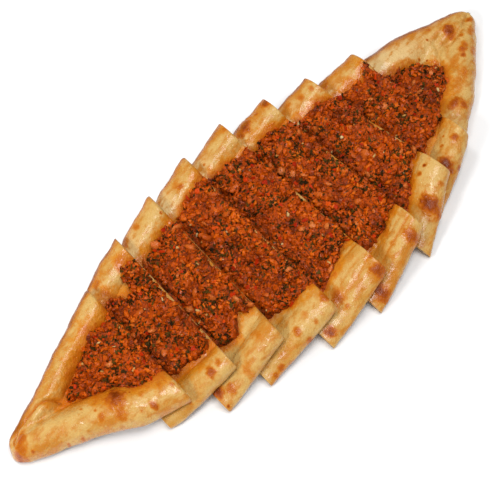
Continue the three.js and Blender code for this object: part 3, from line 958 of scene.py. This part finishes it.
# ---- the filling ------------------------------------------------------------------------------
@dataclass
class Filling:
    """Makes the bed of minced meat on each slice, a crumbly layer between the crust rolls."""

    bread: Bread
    meat: bpy.types.Material
    noise: Noise = field(default_factory=lambda: Noise(23))
    side_shift: float = 50.0
    edge_shift: float = 9.0
    slice_shift: float = 31.0
    wander: tuple[Ripple, ...] = (Ripple(1.4, 8), Ripple(1.2, 3.2, 7.5))
    ragged: tuple[Ripple, ...] = (Ripple(1.1, 4), Ripple(1.2, 1.8, 3.5))
    waves: tuple[Ripple, ...] = (Ripple(0.6, 12, 13.5), Ripple(0.3, 1.3, 15.5))
    step: float = 0.6
    level: float = 6.9
    least: float = 0.5
    least_dipped: float = 0.3
    crumb_size: float = 4.4
    crumb_seed: int = 11
    crumb_reach: float = 0.8
    crumb_tones: Span = (0.3, 1.2)
    crumb_middle: float = 0.4
    crumb_height: float = 1.15
    crumb_gain: float = 1.6
    grain_size: float = 1.6
    grain_seed: int = 31
    grain_middle: float = 0.5
    grain_height: float = 0.8
    dip: float = 1.9
    dip_reach: float = 4.5
    setback: float = 0.25
    bare_places: Ripple = Ripple(1, 14, 9.5, 0)
    bare_fade: Span = (-0.05, 0.3)
    bare_strip: float = 2.5
    bare_share: float = 0.6
    bare_border: Ripple = Ripple(0.6, 2.2, 19.5, 0)
    side_fade: Span = (-0.2, 2.0)
    end_fade: Span = (-0.4, 0.5)
    end_ragged: float = 0.3
    sunk: float = 0.6
    under_gap: float = 0.2
    cover_thick: Span = (0.3, 0.8)
    cover_past: Span = (0.5, 1.3)

    def edge(self, index: int, s: np.ndarray, side: int) -> np.ndarray:
        """The wandering edge of the filling on one side."""
        apart = np.full_like(s, self.side_shift * side), np.full_like(s, self.edge_shift * index)
        wander = self.noise.at(np.stack([s, *apart], axis=1), *self.wander)
        return self.bread.filling_edge(index, s, side) + side * wander

    def dough_height(self, index: int, s: np.ndarray, y: np.ndarray) -> np.ndarray:
        """Height of the dough under the filling's grid."""
        middle = self.bread.middle_line(index, s)[:, None]
        height = np.full(y.shape, self.bread.base)
        for side in (NEAR, FAR):
            roll = self.bread.roll(index, s, side).columns()
            inward = roll.half - side * (y - middle)
            slope = roll.inner(np.maximum(inward, roll.crown), self.bread.base)
            height = np.maximum(height, np.where(inward < roll.foot, slope, self.bread.base))
        return height

    def thickness(self, at: np.ndarray, to_side: np.ndarray, to_ends: Sequence[np.ndarray]) -> np.ndarray:
        """How much of the layer's full height each point has, with strips left bare at the cut.

        Args:
            at: the grid's points along the bread.
            to_side: how far they lie inside the nearer long edge.
            to_ends: how far they lie inside the left and the right end.

        Returns:
            From 0, bare dough, to 1.
        """
        ragged = self.noise.at(at, *self.ragged)
        bare = smooth(*self.bare_fade, self.noise.at(at, self.bare_places))
        bare *= self.bare_strip * (self.bare_share + self.noise.at(at, self.bare_border))
        ends = np.minimum(to_ends[1] - bare, to_ends[0]) + self.end_ragged * ragged
        return smooth(*self.side_fade, to_side + ragged) * smooth(*self.end_fade, ends)

    def crumbs(self, index: int, at: np.ndarray) -> tuple[np.ndarray, dict[str, np.ndarray]]:
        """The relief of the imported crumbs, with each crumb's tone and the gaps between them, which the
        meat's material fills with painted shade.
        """
        flat = at[..., :2].reshape(-1, 2)
        nearest, second, tone = crumb_cells(flat, self.crumb_size, self.crumb_seed + index)
        fine, _, _ = crumb_cells(flat, self.grain_size, self.grain_seed + index)
        low, more = self.crumb_tones
        dome = (1 - np.minimum(1, nearest / self.crumb_reach) ** 2) * (low + more * tone)
        relief = self.crumb_height * (dome - self.crumb_middle) * self.crumb_gain
        relief = relief + self.grain_height * (self.grain_middle - fine)
        return relief.reshape(at.shape[:2]), {"tone": tone, "gap": np.clip(second - nearest, 0, 1)}

    def build(self, laid: Laid) -> tuple[bpy.types.Object, dict[str, np.ndarray]]:
        """The bed of one slice, where it lies.

        Args:
            laid: the slice.

        Returns:
            The new object, and its top with how far bits may cover it, for strewing them.
        """
        index = laid.index
        start, end = self.bread.cuts[index], self.bread.cuts[index + 1]
        first, last = self.bread.slices[index].filled
        low, high = start + max(first, self.setback), min(end - self.setback, start + last)
        s = np.linspace(low, high, int((high - low) / self.step))
        near, far = (self.edge(index, s, side)[:, None] for side in (NEAR, FAR))
        y = blend(near, far, np.linspace(0, 1, int(np.max(far - near) / self.step)))
        x = np.broadcast_to((s - start)[:, None], y.shape)
        dough = self.dough_height(index, s, y)
        at = np.stack([x + start, y, np.full(x.shape, self.slice_shift * index)], axis=2)
        to_ends = (s - low)[:, None], (high - s)[:, None]
        thick = self.thickness(at, np.minimum(y - near, far - y), to_ends)
        relief, values = self.crumbs(index, at)
        bed = np.maximum(self.level, dough + self.least) + relief + self.noise.at(at, *self.waves)
        past = laid.beyond_above(placed(np.stack([x, y, bed], axis=2), laid.matrix))
        dipped = bed - self.dip * (1 - smooth(0, self.dip_reach, past))
        z = blend(dough - self.sunk, np.maximum(dipped, dough + self.least_dipped), thick)
        top = laid.pressed(np.stack([x, y, z], axis=2))
        under = top.copy()
        under[..., 2] = np.minimum(dough - self.sunk, top[..., 2]) - self.under_gap
        faces = slab_faces(*x.shape)
        points = placed(np.vstack([top.reshape(-1, 3), under.reshape(-1, 3)]), laid.matrix)
        values = {name: np.tile(numbers, 2) for name, numbers in values.items()}
        made = make_object(f"meat_bed_{index + 1}", points, np.vstack(faces), [self.meat], None, values)
        upper = points[:x.size]
        past = laid.beyond_above(upper)
        cover = smooth(*self.cover_thick, thick).ravel() * smooth(*self.cover_past, past)
        return made, {"points": upper, "faces": faces[0], "cover": cover}


# ---- shader graphs ----------------------------------------------------------------------------
class Wire:
    """A socket whose sums and products add their own Math nodes."""

    def __init__(self, graph: "Graph", socket: bpy.types.NodeSocket) -> None:
        """Wraps a socket.

        Args:
            graph: the graph that it belongs to.
            socket: an output socket.
        """
        self.graph = graph
        self.socket = socket

    def beside(self, output: str) -> "Wire":
        """Another output of the same node."""
        return Wire(self.graph, self.socket.node.outputs[output])

    def _math(self, operation: str, left: "Wire | float", right: "Wire | float") -> "Wire":
        """A Math node on two values."""
        return self.graph.node("ShaderNodeMath", {"operation": operation}, {0: left, 1: right})

    def __add__(self, other: "Wire | float") -> "Wire":
        """The sum."""
        return self._math("ADD", self, other)

    __radd__ = __add__

    def __sub__(self, other: "Wire | float") -> "Wire":
        """The difference."""
        return self._math("SUBTRACT", self, other)

    def __rsub__(self, other: "Wire | float") -> "Wire":
        """The difference the other way round."""
        return self._math("SUBTRACT", other, self)

    def __mul__(self, other: "Wire | float") -> "Wire":
        """The product."""
        return self._math("MULTIPLY", self, other)

    __rmul__ = __mul__

    def step(self, low: float, high: float, start: float = 0.0, end: float = 1.0) -> "Wire":
        """A soft step from start, below low, to end, above high."""
        return self.graph.node(
            "ShaderNodeMapRange", {"interpolation_type": "SMOOTHSTEP"},
            {"Value": self, "From Min": low, "From Max": high, "To Min": start, "To Max": end},
        )


class Graph:
    """A node tree, with one method that makes any node."""

    RANDOM_OUTPUTS = {"FLOAT_VECTOR": 0, "FLOAT": 1, "INT": 2, "BOOLEAN": 3}

    def __init__(self, tree: bpy.types.NodeTree) -> None:
        """Takes a tree.

        Args:
            tree: the tree that gets the nodes.
        """
        self.tree = tree

    def node(self, kind: str, settings: dict | None = None, inputs: dict | None = None,
             output: int | str = 0) -> Wire | None:
        """Makes a node.

        Args:
            kind: the node's type.
            settings: properties, set first.
            inputs: values or wires of its sockets, by name or number.
            output: the output that the wire holds.

        Returns:
            That output, or None for a node without outputs.
        """
        made = self.tree.nodes.new(kind)
        for key, value in (settings or {}).items():
            setattr(made, key, value)
        for key, value in (inputs or {}).items():
            if isinstance(value, Wire):
                self.tree.links.new(value.socket, made.inputs[key])
            elif made.inputs[key].type == "RGBA":
                made.inputs[key].default_value = (*value, 1.0)
            else:
                made.inputs[key].default_value = value
        return Wire(self, made.outputs[output]) if made.outputs else None

    def draw(self, kind: str, seed: int, **limits: Wire | float | tuple[float, ...]) -> Wire:
        """A random value of a kind, within its limits."""
        inputs = {**limits, "Seed": seed}
        return self.node("FunctionNodeRandomValue", {"data_type": kind}, inputs, self.RANDOM_OUTPUTS[kind])

    def scaled(self, vector: Wire, factor: Wire) -> Wire:
        """A vector times a number."""
        return self.node("ShaderNodeVectorMath", {"operation": "SCALE"}, {0: vector, "Scale": factor})


class Shader(Graph):
    """The graph of a material that ends in one Principled BSDF."""

    ROUGHNESS = 0.55
    NEW_STOP = 0.5

    def __init__(self, name: str) -> None:
        """Starts an empty material.

        Args:
            name: the material's name.
        """
        self.material = bpy.data.materials.new(name)
        self.material.use_nodes = True
        super().__init__(self.material.node_tree)
        self.tree.nodes.clear()
        self.place = self.node("ShaderNodeTexCoord", output="Object")

    def noise(self, size: float, detail: float = 3.0, shift: float = 0.0, along: float = 1.0) -> Wire:
        """Noise of a size in millimetres, about 0 to 1, drawn out along x."""
        at = self.node("ShaderNodeMapping", None, {
            "Vector": self.place, "Location": (shift, shift, shift), "Scale": (1 / along, 1.0, 1.0)})
        return self.node("ShaderNodeTexNoise", None, {
            "Vector": at, "Scale": 1 / (size * MM), "Detail": detail, "Roughness": self.ROUGHNESS})

    def value(self, name: str) -> Wire:
        """A number stored on the mesh's points."""
        return self.node("ShaderNodeAttribute", {"attribute_name": name}, output="Fac")

    def mix(self, share: Wire | float, start: Wire | Colour, end: Wire | Colour) -> Wire:
        """A colour between two."""
        return self.node("ShaderNodeMix", {"data_type": "RGBA"}, {0: share, 6: start, 7: end}, 2)

    def ramp(self, share: Wire, stops: Stops) -> Wire:
        """A colour of a ramp."""
        made = self.node("ShaderNodeValToRGB", None, {0: share}, "Color")
        elements = made.socket.node.color_ramp.elements
        while len(elements) < len(stops):
            elements.new(self.NEW_STOP)
        for element, (position, colour) in zip(elements, stops):
            element.position = position
            element.color = (*colour, 1.0)
        return made

    def bump(self, height: Wire, distance: float, strength: float = 1.0) -> Wire:
        """A normal from a height, whose range of 0 to 1 is distance millimetres deep."""
        return self.node("ShaderNodeBump", None, {
            "Height": height, "Distance": distance * MM, "Strength": strength}, "Normal")

    def finish(self, **sockets: Wire | float | Colour) -> bpy.types.Material:
        """Ends the graph in a Principled BSDF.

        Args:
            sockets: its inputs, with _ for a space.

        Returns:
            The material.
        """
        inputs = {key.replace("_", " "): value for key, value in sockets.items()}
        shader = self.node("ShaderNodeBsdfPrincipled", None, inputs)
        self.node("ShaderNodeOutputMaterial", None, {"Surface": shader})
        return self.material


@dataclass(frozen=True)
class BakedCrust:
    """Golden crust, mottled, orange with oil beside the filling and dark on its blisters; its darkening
    along creases and at the outer edges is partly browning and partly painted shade.
    """

    pale: Colour = (0.64, 0.39, 0.115)
    golden: Colour = (0.57, 0.27, 0.045)
    toasted: Colour = (0.54, 0.175, 0.011)
    cream: Colour = (0.78, 0.55, 0.26)
    oily: Colour = (0.61, 0.20, 0.004)
    red_oil: Colour = (0.50, 0.09, 0.001)
    under: Colour = (0.24, 0.09, 0.018)
    # rim is the dark colour of the outer edges: partly browned crust, partly painted shade.
    rim: Colour = (0.24, 0.055, 0.003)
    gloss: float = 0.62
    browning: Stops = (
        (0.0, (0.57, 0.27, 0.045)),
        (0.28, (0.56, 0.175, 0.007)),
        (0.55, (0.44, 0.098, 0.003)),
        (0.8, (0.29, 0.050, 0.0015)),
        (1.0, (0.16, 0.025, 0.001)),
    )

    def material(self) -> bpy.types.Material:
        """Builds the material."""
        graph = Shader("baked_crust")
        broad, middle = graph.noise(18, 4, 0.0, 1.5), graph.noise(5, 4, 0.3, 2.0)
        fine, skin = graph.noise(1.5, 3, 0.7), graph.noise(1.3, 2, 1.1, 0.6)
        brown, oil, outer = graph.value("brown"), graph.value("oil"), graph.value("outer")
        tone = broad * 0.6 + middle * 0.4 + outer * 0.12
        colour = graph.mix(tone.step(0.42, 0.62), self.pale, self.golden)
        patchy = tone * 0.55 + graph.noise(3.0, 4, 1.9, 2.0) * 0.45 + graph.value("toast") * 0.05
        mottle = patchy.step(0.485, 0.6)
        colour = graph.mix(mottle * 0.74, colour, self.toasted)
        colour = graph.mix(fine.step(0.5, 0.7) * 0.3, colour, self.toasted)
        colour = graph.mix(graph.value("fresh") * (1.0 - mottle) * 0.7, colour, self.cream)
        soaked = oil + (fine - 0.5) * 0.5 + (middle - 0.5) * 0.5
        colour = graph.mix(soaked.step(0.05, 0.65) * 0.88, colour, self.oily)
        colour = graph.mix(soaked.step(0.55, 1.0) * 0.65, colour, self.red_oil)
        # The brown value also carries painted shade along the creases, which this ramp darkens like
        # browning.
        spotted = brown + (fine - 0.5) * 0.16 + (middle - 0.5) * 0.12
        colour = graph.mix(spotted.step(0.02, 0.42), colour, graph.ramp(spotted, self.browning))
        # Towards the outer edges the crust is darkened, first to toasted and then to the rim colour:
        # partly browning, partly painted shade.
        browned = (outer + (middle - 0.5) * 0.7).step(0.22, 0.66)
        colour = graph.mix(browned * 0.8, colour, self.toasted)
        dark_rim = (outer + (middle - 0.5) * 0.5).step(0.52, 0.78)
        colour = graph.mix(dark_rim * 0.75, colour, self.rim)
        low = (graph.value("height") + (fine - 0.5) * 1.6).step(0.2, 1.6, 1.0, 0.0)
        colour = graph.mix(low * 0.8, colour, self.under)
        wet = (middle * 0.5 + skin * 0.5).step(0.42, 0.54, 0.15, 1.0)
        oiled = wet * brown.step(0.2, 0.6, 1.0, 0.3) * outer.step(0.3, 0.75, 1.0, 0.0)
        return graph.finish(
            Base_Color=colour, Roughness=0.4 - wet * 0.2, Specular_IOR_Level=0.3,
            Coat_Weight=oiled * self.gloss, Coat_Roughness=0.18,
            Normal=graph.bump(fine * 0.4 + skin * 0.6, 0.9, 1.0),
        )


@dataclass(frozen=True)
class CutCrumb:
    """The inside of the baked dough where it was cut: pale, matt and porous."""

    pale: Colour = (0.60, 0.42, 0.25)
    dark: Colour = (0.30, 0.17, 0.085)

    def material(self) -> bpy.types.Material:
        """Builds the material."""
        graph = Shader("cut_crumb")
        pores, patches = graph.noise(1.1, 3), graph.noise(4, 2, 0.4)
        colour = graph.mix((pores * 0.6 + patches * 0.4).step(0.38, 0.6), self.dark, self.pale)
        return graph.finish(Base_Color=colour, Roughness=0.8, Normal=graph.bump(pores, 0.5, 0.8))


MEAT_STOPS: Stops = (
    (0.0, (0.10, 0.013, 0.0003)),
    (0.25, (0.27, 0.034, 0.0003)),
    (0.5, (0.46, 0.062, 0.0006)),
    (0.75, (0.59, 0.094, 0.0008)),
    (1.0, (0.72, 0.158, 0.008)),
)


@dataclass(frozen=True)
class MeatBed:
    """Minced meat fried in tomato and pepper: each crumb has its own red or brown, and the gaps between
    crumbs get painted shade.
    """

    herb: Colour = (0.035, 0.020, 0.003)
    # dark is painted shade, laid into the gaps between the crumbs.
    dark: Colour = (0.075, 0.020, 0.002)

    def material(self) -> bpy.types.Material:
        """Builds the material."""
        graph = Shader("meat_bed")
        tone, gap = graph.value("tone"), graph.value("gap")
        fine, patch, broad = graph.noise(0.9, 3), graph.noise(3.2, 3, 0.2), graph.noise(14, 2, 0.6)
        mixed = tone * 0.35 + (patch - 0.25) * 0.9 + (fine - 0.5) * 0.9 + (broad - 0.5) * 0.9
        colour = graph.ramp(mixed, MEAT_STOPS)
        # Painted shade: the gaps between the crumbs are darkened towards the dark colour.
        gap = gap + (fine - 0.5) * 0.5
        colour = graph.mix(gap.step(0.02, 0.2, 0.75, 0.0), colour, self.dark)
        herbs = (patch * 0.35 + broad * 0.25 + graph.noise(1.6, 2, 0.9) * 0.4).step(0.54, 0.6)
        colour = graph.mix(herbs * 0.9, colour, self.herb)
        return graph.finish(
            Base_Color=colour, Roughness=0.5, Specular_IOR_Level=0.2, Coat_Roughness=0.25,
            Coat_Weight=patch.step(0.45, 0.6) * gap.step(0.1, 0.4) * 0.35,
            Normal=graph.bump(fine, 0.5, 1.0),
        )


@dataclass(frozen=True)
class BitFinish:
    """A finish for strewn bits, whose colour runs over a few stops with each bit's own tone."""

    name: str
    stops: Stops
    roughness: float
    speckle: float = 0.6
    specular: float = 0.12
    spread: float = 0.8

    def material(self) -> bpy.types.Material:
        """Builds the material."""
        graph = Shader(self.name)
        fine, broad = graph.noise(0.9, 3), graph.noise(14, 2, 0.6)
        own = (graph.value("tone") - 0.5) * self.spread + 0.5
        tone = own + (fine - 0.5) * self.speckle + (broad - 0.5) * 0.9
        colour = graph.ramp(tone, self.stops)
        return graph.finish(
            Base_Color=colour, Roughness=self.roughness, Normal=graph.bump(fine, 0.4, 1.0),
            Specular_IOR_Level=self.specular,
        )


# ---- strewn bits ------------------------------------------------------------------------------
class Bit(Enum):
    """The kinds of small things strewn over the filling."""

    CRUMB = "meat_crumbs"
    GRAIN = "meat_grains"
    LUMP = "meat_lumps"
    HERB = "herb_flecks"
    PEPPER = "pepper_bits"
    ONION = "onion_bits"


@dataclass(frozen=True)
class Strewing:
    """How one kind of bit is shaped and spread. Lengths are in millimetres, angles in radians."""

    kind: Bit
    finish: BitFinish
    smallest: float
    largest: float
    proportions: tuple[float, float, float]
    spacing: float
    share: float
    seed: int
    subdivisions: int = 2
    raggedness: float = 0.5
    raise_by: float = 0.15
    tilt: float = 0.6
    clumps: float = 0.0
    rounded: bool = True

    VARIANTS = 8
    VARIANT_SEEDS = 17
    BALL_RADIUS = 0.5
    OUTWARD = 0.5
    UNEVEN = (0.7, 1.3)
    DENSITY = 4e6
    CLUMP_FADE = (0.44, 0.6)
    CLUMP_LEAST = 0.07
    INPUTS = {"Smallest": "smallest", "Largest": "largest", "Spacing": "spacing", "Raise": "raise_by"}

    def tree(self, material: bpy.types.Material) -> bpy.types.GeometryNodeTree:
        """Builds the node tree that strews the bits on a surface.

        Args:
            material: the bits' material.

        Returns:
            The tree, with a named input for each size.
        """
        tree = bpy.data.node_groups.new(self.kind.value, "GeometryNodeTree")
        face = tree.interface
        face.new_socket("Geometry", in_out="INPUT", socket_type="NodeSocketGeometry")
        for name in (*self.INPUTS, "Share"):
            face.new_socket(name, in_out="INPUT", socket_type="NodeSocketFloat")
        face.new_socket("Geometry", in_out="OUTPUT", socket_type="NodeSocketGeometry")

        graph, seeds = Graph(tree), itertools.count(self.seed)
        given = graph.node("NodeGroupInput")
        spots = graph.node("GeometryNodeDistributePointsOnFaces", {"distribute_method": "POISSON"}, {
            "Mesh": given, "Distance Min": given.beside("Spacing"), "Density Max": self.DENSITY,
            "Density Factor": self.cover(graph), "Seed": next(seeds)})
        kept = graph.draw("BOOLEAN", next(seeds), Probability=given.beside("Share"))
        chosen = graph.node("GeometryNodeSeparateGeometry", {"domain": "POINT"}, {
            "Geometry": spots, "Selection": kept})
        most = self.tilt, self.tilt, math.tau
        wobble = graph.draw("FLOAT_VECTOR", next(seeds), Min=(-self.tilt, -self.tilt, 0.0), Max=most)
        turned = graph.node("FunctionNodeRotateRotation", {"rotation_space": "LOCAL"}, {
            0: spots.beside("Rotation"), 1: graph.node("FunctionNodeEulerToRotation", None, {0: wobble})})
        scale = graph.draw(
            "FLOAT", next(seeds), Min=given.beside("Smallest"), Max=given.beside("Largest"))
        least, most = (tuple(share * value for value in self.proportions) for share in self.UNEVEN)
        sized = graph.scaled(graph.draw("FLOAT_VECTOR", next(seeds), Min=least, Max=most), scale)
        pick = graph.draw("INT", next(seeds), Min=0, Max=self.VARIANTS - 1)
        strewn = graph.node("GeometryNodeInstanceOnPoints", None, {
            "Points": chosen, "Instance": self.balls(graph), "Pick Instance": True,
            "Instance Index": pick, "Rotation": turned, "Scale": sized})
        upwards = graph.node("ShaderNodeCombineXYZ", None, {"Z": given.beside("Raise")})
        raised = graph.node("GeometryNodeTranslateInstances", None, {
            "Instances": strewn, "Translation": upwards, "Local Space": False})
        tone = graph.draw("FLOAT", next(seeds), Min=0.0, Max=1.0)
        place = {"data_type": "FLOAT", "domain": "INSTANCE"}
        named = graph.node("GeometryNodeStoreNamedAttribute", place, {
            "Geometry": raised, "Name": "tone", "Value": tone})
        real = graph.node("GeometryNodeRealizeInstances", None, {0: named})
        soft = graph.node("GeometryNodeSetShadeSmooth", None, {
            "Geometry": real, "Shade Smooth": self.rounded})
        dressed = graph.node("GeometryNodeSetMaterial", None, {"Geometry": soft, "Material": material})
        graph.node("NodeGroupOutput", None, {"Geometry": dressed})
        return tree

    def cover(self, graph: Graph) -> Wire:
        """How much of the surface the bits may cover, which clumps them if they clump."""
        cover = graph.node("GeometryNodeInputNamedAttribute", {"data_type": "FLOAT"}, {"Name": "cover"})
        if not self.clumps:
            return cover
        cloud = graph.node("ShaderNodeTexNoise", None, {
            "Vector": graph.node("GeometryNodeInputPosition"), "Scale": 1 / (self.clumps * MM)})
        low, high = self.CLUMP_FADE
        return cover * graph.node("ShaderNodeMapRange", None, {
            "Value": cloud, "From Min": low, "From Max": high, "To Min": self.CLUMP_LEAST})

    def balls(self, graph: Graph) -> Wire:
        """A few balls of size 1, each ragged in its own way, to pick the bits from."""
        lumps = graph.node("GeometryNodeGeometryToInstance")
        for variant in range(self.VARIANTS):
            ball = graph.node("GeometryNodeMeshIcoSphere", None, {
                "Radius": self.BALL_RADIUS, "Subdivisions": self.subdivisions})
            push = graph.draw("FLOAT", variant + self.seed * self.VARIANT_SEEDS,
                              Min=-self.raggedness, Max=self.raggedness * self.OUTWARD)
            moved = graph.node("GeometryNodeSetPosition", None, {
                "Geometry": ball, "Offset": graph.scaled(graph.node("GeometryNodeInputPosition"), push)})
            graph.tree.links.new(moved.socket, lumps.socket.node.inputs[0])
        return lumps

    def strew(self, ground: bpy.types.Mesh) -> bpy.types.Object:
        """Strews the bits over the ground and keeps them as a plain mesh.

        Args:
            ground: the surface, with its cover from 0 to 1.

        Returns:
            The new object.
        """
        host = linked(f"{self.kind.value}_ground", ground)
        modifier = host.modifiers.new("strew", "NODES")
        modifier.node_group = self.tree(self.finish.material())
        sizes = {name: getattr(self, size) * MM for name, size in self.INPUTS.items()}
        sizes["Share"] = self.share
        for socket in modifier.node_group.interface.items_tree:
            if socket.in_out == "INPUT" and socket.name in sizes:
                modifier[socket.identifier] = sizes[socket.name]
        seen = host.evaluated_get(bpy.context.evaluated_depsgraph_get())
        mesh = bpy.data.meshes.new_from_object(seen)
        mesh.name = self.kind.value
        host.modifiers.clear()
        bpy.data.objects.remove(host)
        return linked(self.kind.value, mesh)


STREWINGS = (
    Strewing(
        Bit.CRUMB, BitFinish("meat_crumb", MEAT_STOPS, 0.32, speckle=1.2, specular=0.3, spread=0.6),
        smallest=1.8, largest=4.2, proportions=(1.35, 0.85, 0.6), spacing=2.3, share=0.5, seed=3,
        raggedness=0.6, tilt=0.6, raise_by=0.05,
    ),
    Strewing(
        Bit.GRAIN, BitFinish("meat_grain", MEAT_STOPS, 0.4, speckle=0.4, spread=0.5),
        smallest=0.6, largest=1.7, proportions=(1.6, 0.7, 0.6), spacing=1.3, share=0.32, seed=13,
        subdivisions=1, raggedness=0.6, tilt=1.0, raise_by=0.1, rounded=False,
    ),
    Strewing(
        Bit.LUMP,
        BitFinish("meat_lump", (
            (0.0, (0.42, 0.060, 0.002)), (0.5, (0.52, 0.095, 0.008)), (1.0, (0.62, 0.17, 0.034)),
        ), roughness=0.28, speckle=0.9, specular=0.4),
        smallest=3.0, largest=6.0, proportions=(1.2, 0.85, 0.38), spacing=7.0, share=0.24, seed=53,
        subdivisions=3, raggedness=0.36, raise_by=0.1,
    ),
    Strewing(
        Bit.HERB,
        BitFinish("herb_fleck", (
            (0.0, (0.012, 0.005, 0.0005)), (0.5, (0.040, 0.020, 0.002)), (1.0, (0.10, 0.055, 0.006)),
        ), 0.6, specular=0.12),
        smallest=1.2, largest=3.6, proportions=(1.0, 0.65, 0.25), spacing=1.25, share=0.68, seed=23,
        subdivisions=1, raggedness=0.6, raise_by=0.25, tilt=0.7, clumps=13.0, rounded=False,
    ),
    Strewing(
        Bit.PEPPER,
        BitFinish("red_pepper", (
            (0.0, (0.30, 0.010, 0.001)), (0.6, (0.52, 0.035, 0.002)), (1.0, (0.66, 0.09, 0.006)),
        ), 0.35),
        smallest=1.8, largest=4.0, proportions=(1.1, 0.75, 0.25), spacing=4.2, share=0.17, seed=33,
        raggedness=0.45, raise_by=0.5, tilt=0.35, rounded=False,
    ),
    Strewing(
        Bit.ONION,
        BitFinish("onion_bit", (
            (0.0, (0.44, 0.19, 0.04)), (0.6, (0.56, 0.33, 0.11)), (1.0, (0.66, 0.49, 0.24)),
        ), 0.3),
        smallest=1.0, largest=3.0, proportions=(1.1, 0.75, 0.3), spacing=6.0, share=0.08, seed=43,
        raggedness=0.4, raise_by=0.6, tilt=0.4,
    ),
)


def strewing_ground(tops: Sequence[dict[str, np.ndarray]]) -> bpy.types.Mesh:
    """One mesh of all the filling's tops, with how much of each point the bits may cover."""
    faces, first = [], 0
    for top in tops:
        faces.append(top["faces"] + first)
        first += len(top["points"])
    mesh = bpy.data.meshes.new("filling_tops")
    mesh.from_pydata(np.vstack([top["points"] for top in tops]).tolist(), [], np.vstack(faces).tolist())
    cover = np.concatenate([top["cover"] for top in tops]).astype(np.float32)
    mesh.attributes.new("cover", "FLOAT", "POINT").data.foreach_set("value", cover)
    mesh.update()
    return mesh


# ---- the whole --------------------------------------------------------------------------------
@dataclass
class Pide:
    """Builds every slice's dough and filling and strews the bits over them."""

    bread: Bread = field(default_factory=Bread)

    def lay(self, nodes: dict[str, bpy.types.Object]) -> list[Laid]:
        """Finds how every slice lies, from the flat undersides of the frame's solids."""
        laid, above = [], None
        for index, one in enumerate(self.bread.slices):
            widest = max(nodes[f"dough_{index + 1}"].data.polygons, key=lambda face: face.area)
            matrix = one.placing(math.acos(min(1.0, abs(widest.normal.z))))
            laid.append(Laid(self.bread, index, matrix, above))
            above = matrix
        return laid

    def build(self, nodes: dict[str, bpy.types.Object]) -> None:
        """Makes all pieces and hands them to the frame.

        Args:
            nodes: the frame's solids by name.
        """
        dough = Dough(self.bread, BakedCrust().material(), CutCrumb().material())
        filling = Filling(self.bread, MeatBed().material())
        tops = []
        for laid in self.lay(nodes):
            number = laid.index + 1
            self.hand_over(dough.build(laid), "crust", f"dough_{number}")
            bed, top = filling.build(laid)
            self.hand_over(bed, "filling", f"filling_{number}")
            tops.append(top)
        ground = strewing_ground(tops)
        for strewing in STREWINGS:
            self.hand_over(strewing.strew(ground), "filling")
        bpy.data.meshes.remove(ground)

    @staticmethod
    def hand_over(piece: bpy.types.Object, slot: str, *nodes: str) -> None:
        """Lets a piece ride on the body and stand for its nodes."""
        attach(piece, ROOT)
        if nodes:
            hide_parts(*nodes)
        LOG.info("%s: %d faces", piece.name, len(piece.data.polygons))


@dataclass(frozen=True)
class Lamp:
    """A square area light that faces the object, with angles in degrees, metres and watts."""

    name: str
    azimuth: float
    elevation: float
    size: float
    power: float
    glossy: bool = True


@dataclass(frozen=True)
class Studio:
    """A pale floor, soft light from above and the camera above the near side."""

    azimuth: float = -48.26
    elevation: float = 62.0
    distance: float = 850.0
    target: tuple[float, float, float] = (-20.0, 10.0, 0.0)
    focal_pixels: float = 1403.0
    image_pixels: float = 500.0
    sensor: float = 36.0
    clip: Span = (0.05, 10)
    lamps: tuple[Lamp, ...] = (
        Lamp("key", 18, 80, 0.55, 5.8),
        Lamp("glint", -52, 75, 0.2, 1.7),
        Lamp("side", -95, 38, 0.25, 5.4, glossy=False),
        Lamp("back", 180, 58, 0.35, 2.6, glossy=False),
    )
    lamp_distance: float = 1.2
    white: tuple[float, ...] = (1.0, 1.0, 1.0, 1.0)
    room_light: float = 0.42
    floor_greys: tuple[Colour, Colour] = ((0.93, 0.93, 0.93), (0.96, 0.96, 0.96))
    floor_grain: Span = (30, 2)
    floor_roughness: float = 0.9
    floor_half: float = 3.0

    def build(self) -> None:
        """Makes the camera, the lights and the floor."""
        scene = bpy.context.scene
        camera = bpy.data.cameras.new("camera")
        camera.sensor_width = self.sensor
        camera.lens = self.sensor * self.focal_pixels / self.image_pixels
        camera.clip_start, camera.clip_end = self.clip
        viewer = self.direction(self.azimuth, self.elevation)
        place = (Vector(self.target) + viewer * self.distance) * MM
        scene.camera = self.aimed("camera", camera, place, viewer)
        for lamp in self.lamps:
            light = bpy.data.lights.new(lamp.name, "AREA")
            light.size, light.energy = lamp.size, lamp.power
            towards = self.direction(lamp.azimuth, lamp.elevation)
            holder = self.aimed(lamp.name, light, towards * self.lamp_distance, towards)
            holder.visible_glossy = lamp.glossy
        world = bpy.data.worlds.new("soft_room")
        world.use_nodes = True
        world.cycles_visibility.glossy = False
        background = world.node_tree.nodes["Background"].inputs
        background["Color"].default_value = self.white
        background["Strength"].default_value = self.room_light
        scene.world = world
        scene.view_settings.view_transform = "Standard"
        self.floor()

    @staticmethod
    def direction(azimuth: float, elevation: float) -> Vector:
        """Unit vector from the object to a viewer at an azimuth and elevation in degrees."""
        a, e = math.radians(azimuth), math.radians(elevation)
        return Vector((math.sin(a) * math.cos(e), -math.cos(a) * math.cos(e), math.sin(e)))

    @staticmethod
    def aimed(name: str, data: bpy.types.ID, place: Vector, towards: Vector) -> bpy.types.Object:
        """Links a camera or light at a place, looking back along the way towards it."""
        holder = linked(name, data)
        holder.location = place
        holder.rotation_euler = (-towards).to_track_quat("-Z", "Y").to_euler()
        return holder

    def floor(self) -> None:
        """The pale floor."""
        graph = Shader("pale_floor")
        colour = graph.mix(graph.noise(*self.floor_grain), *self.floor_greys)
        material = graph.finish(Base_Color=colour, Roughness=self.floor_roughness)
        half = self.floor_half
        corners = np.array([(-half, -half, 0), (half, -half, 0), (half, half, 0), (-half, half, 0)])
        make_object("floor", corners, np.array([[0, 1, 2, 3]]), [material])


def main() -> None:
    """Builds the scene round the frame."""
    logging.basicConfig(level=logging.INFO, format="%(message)s")
    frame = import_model()
    Studio().build()
    Pide().build(frame["nodes"])


if __name__ == "__main__":
    main()
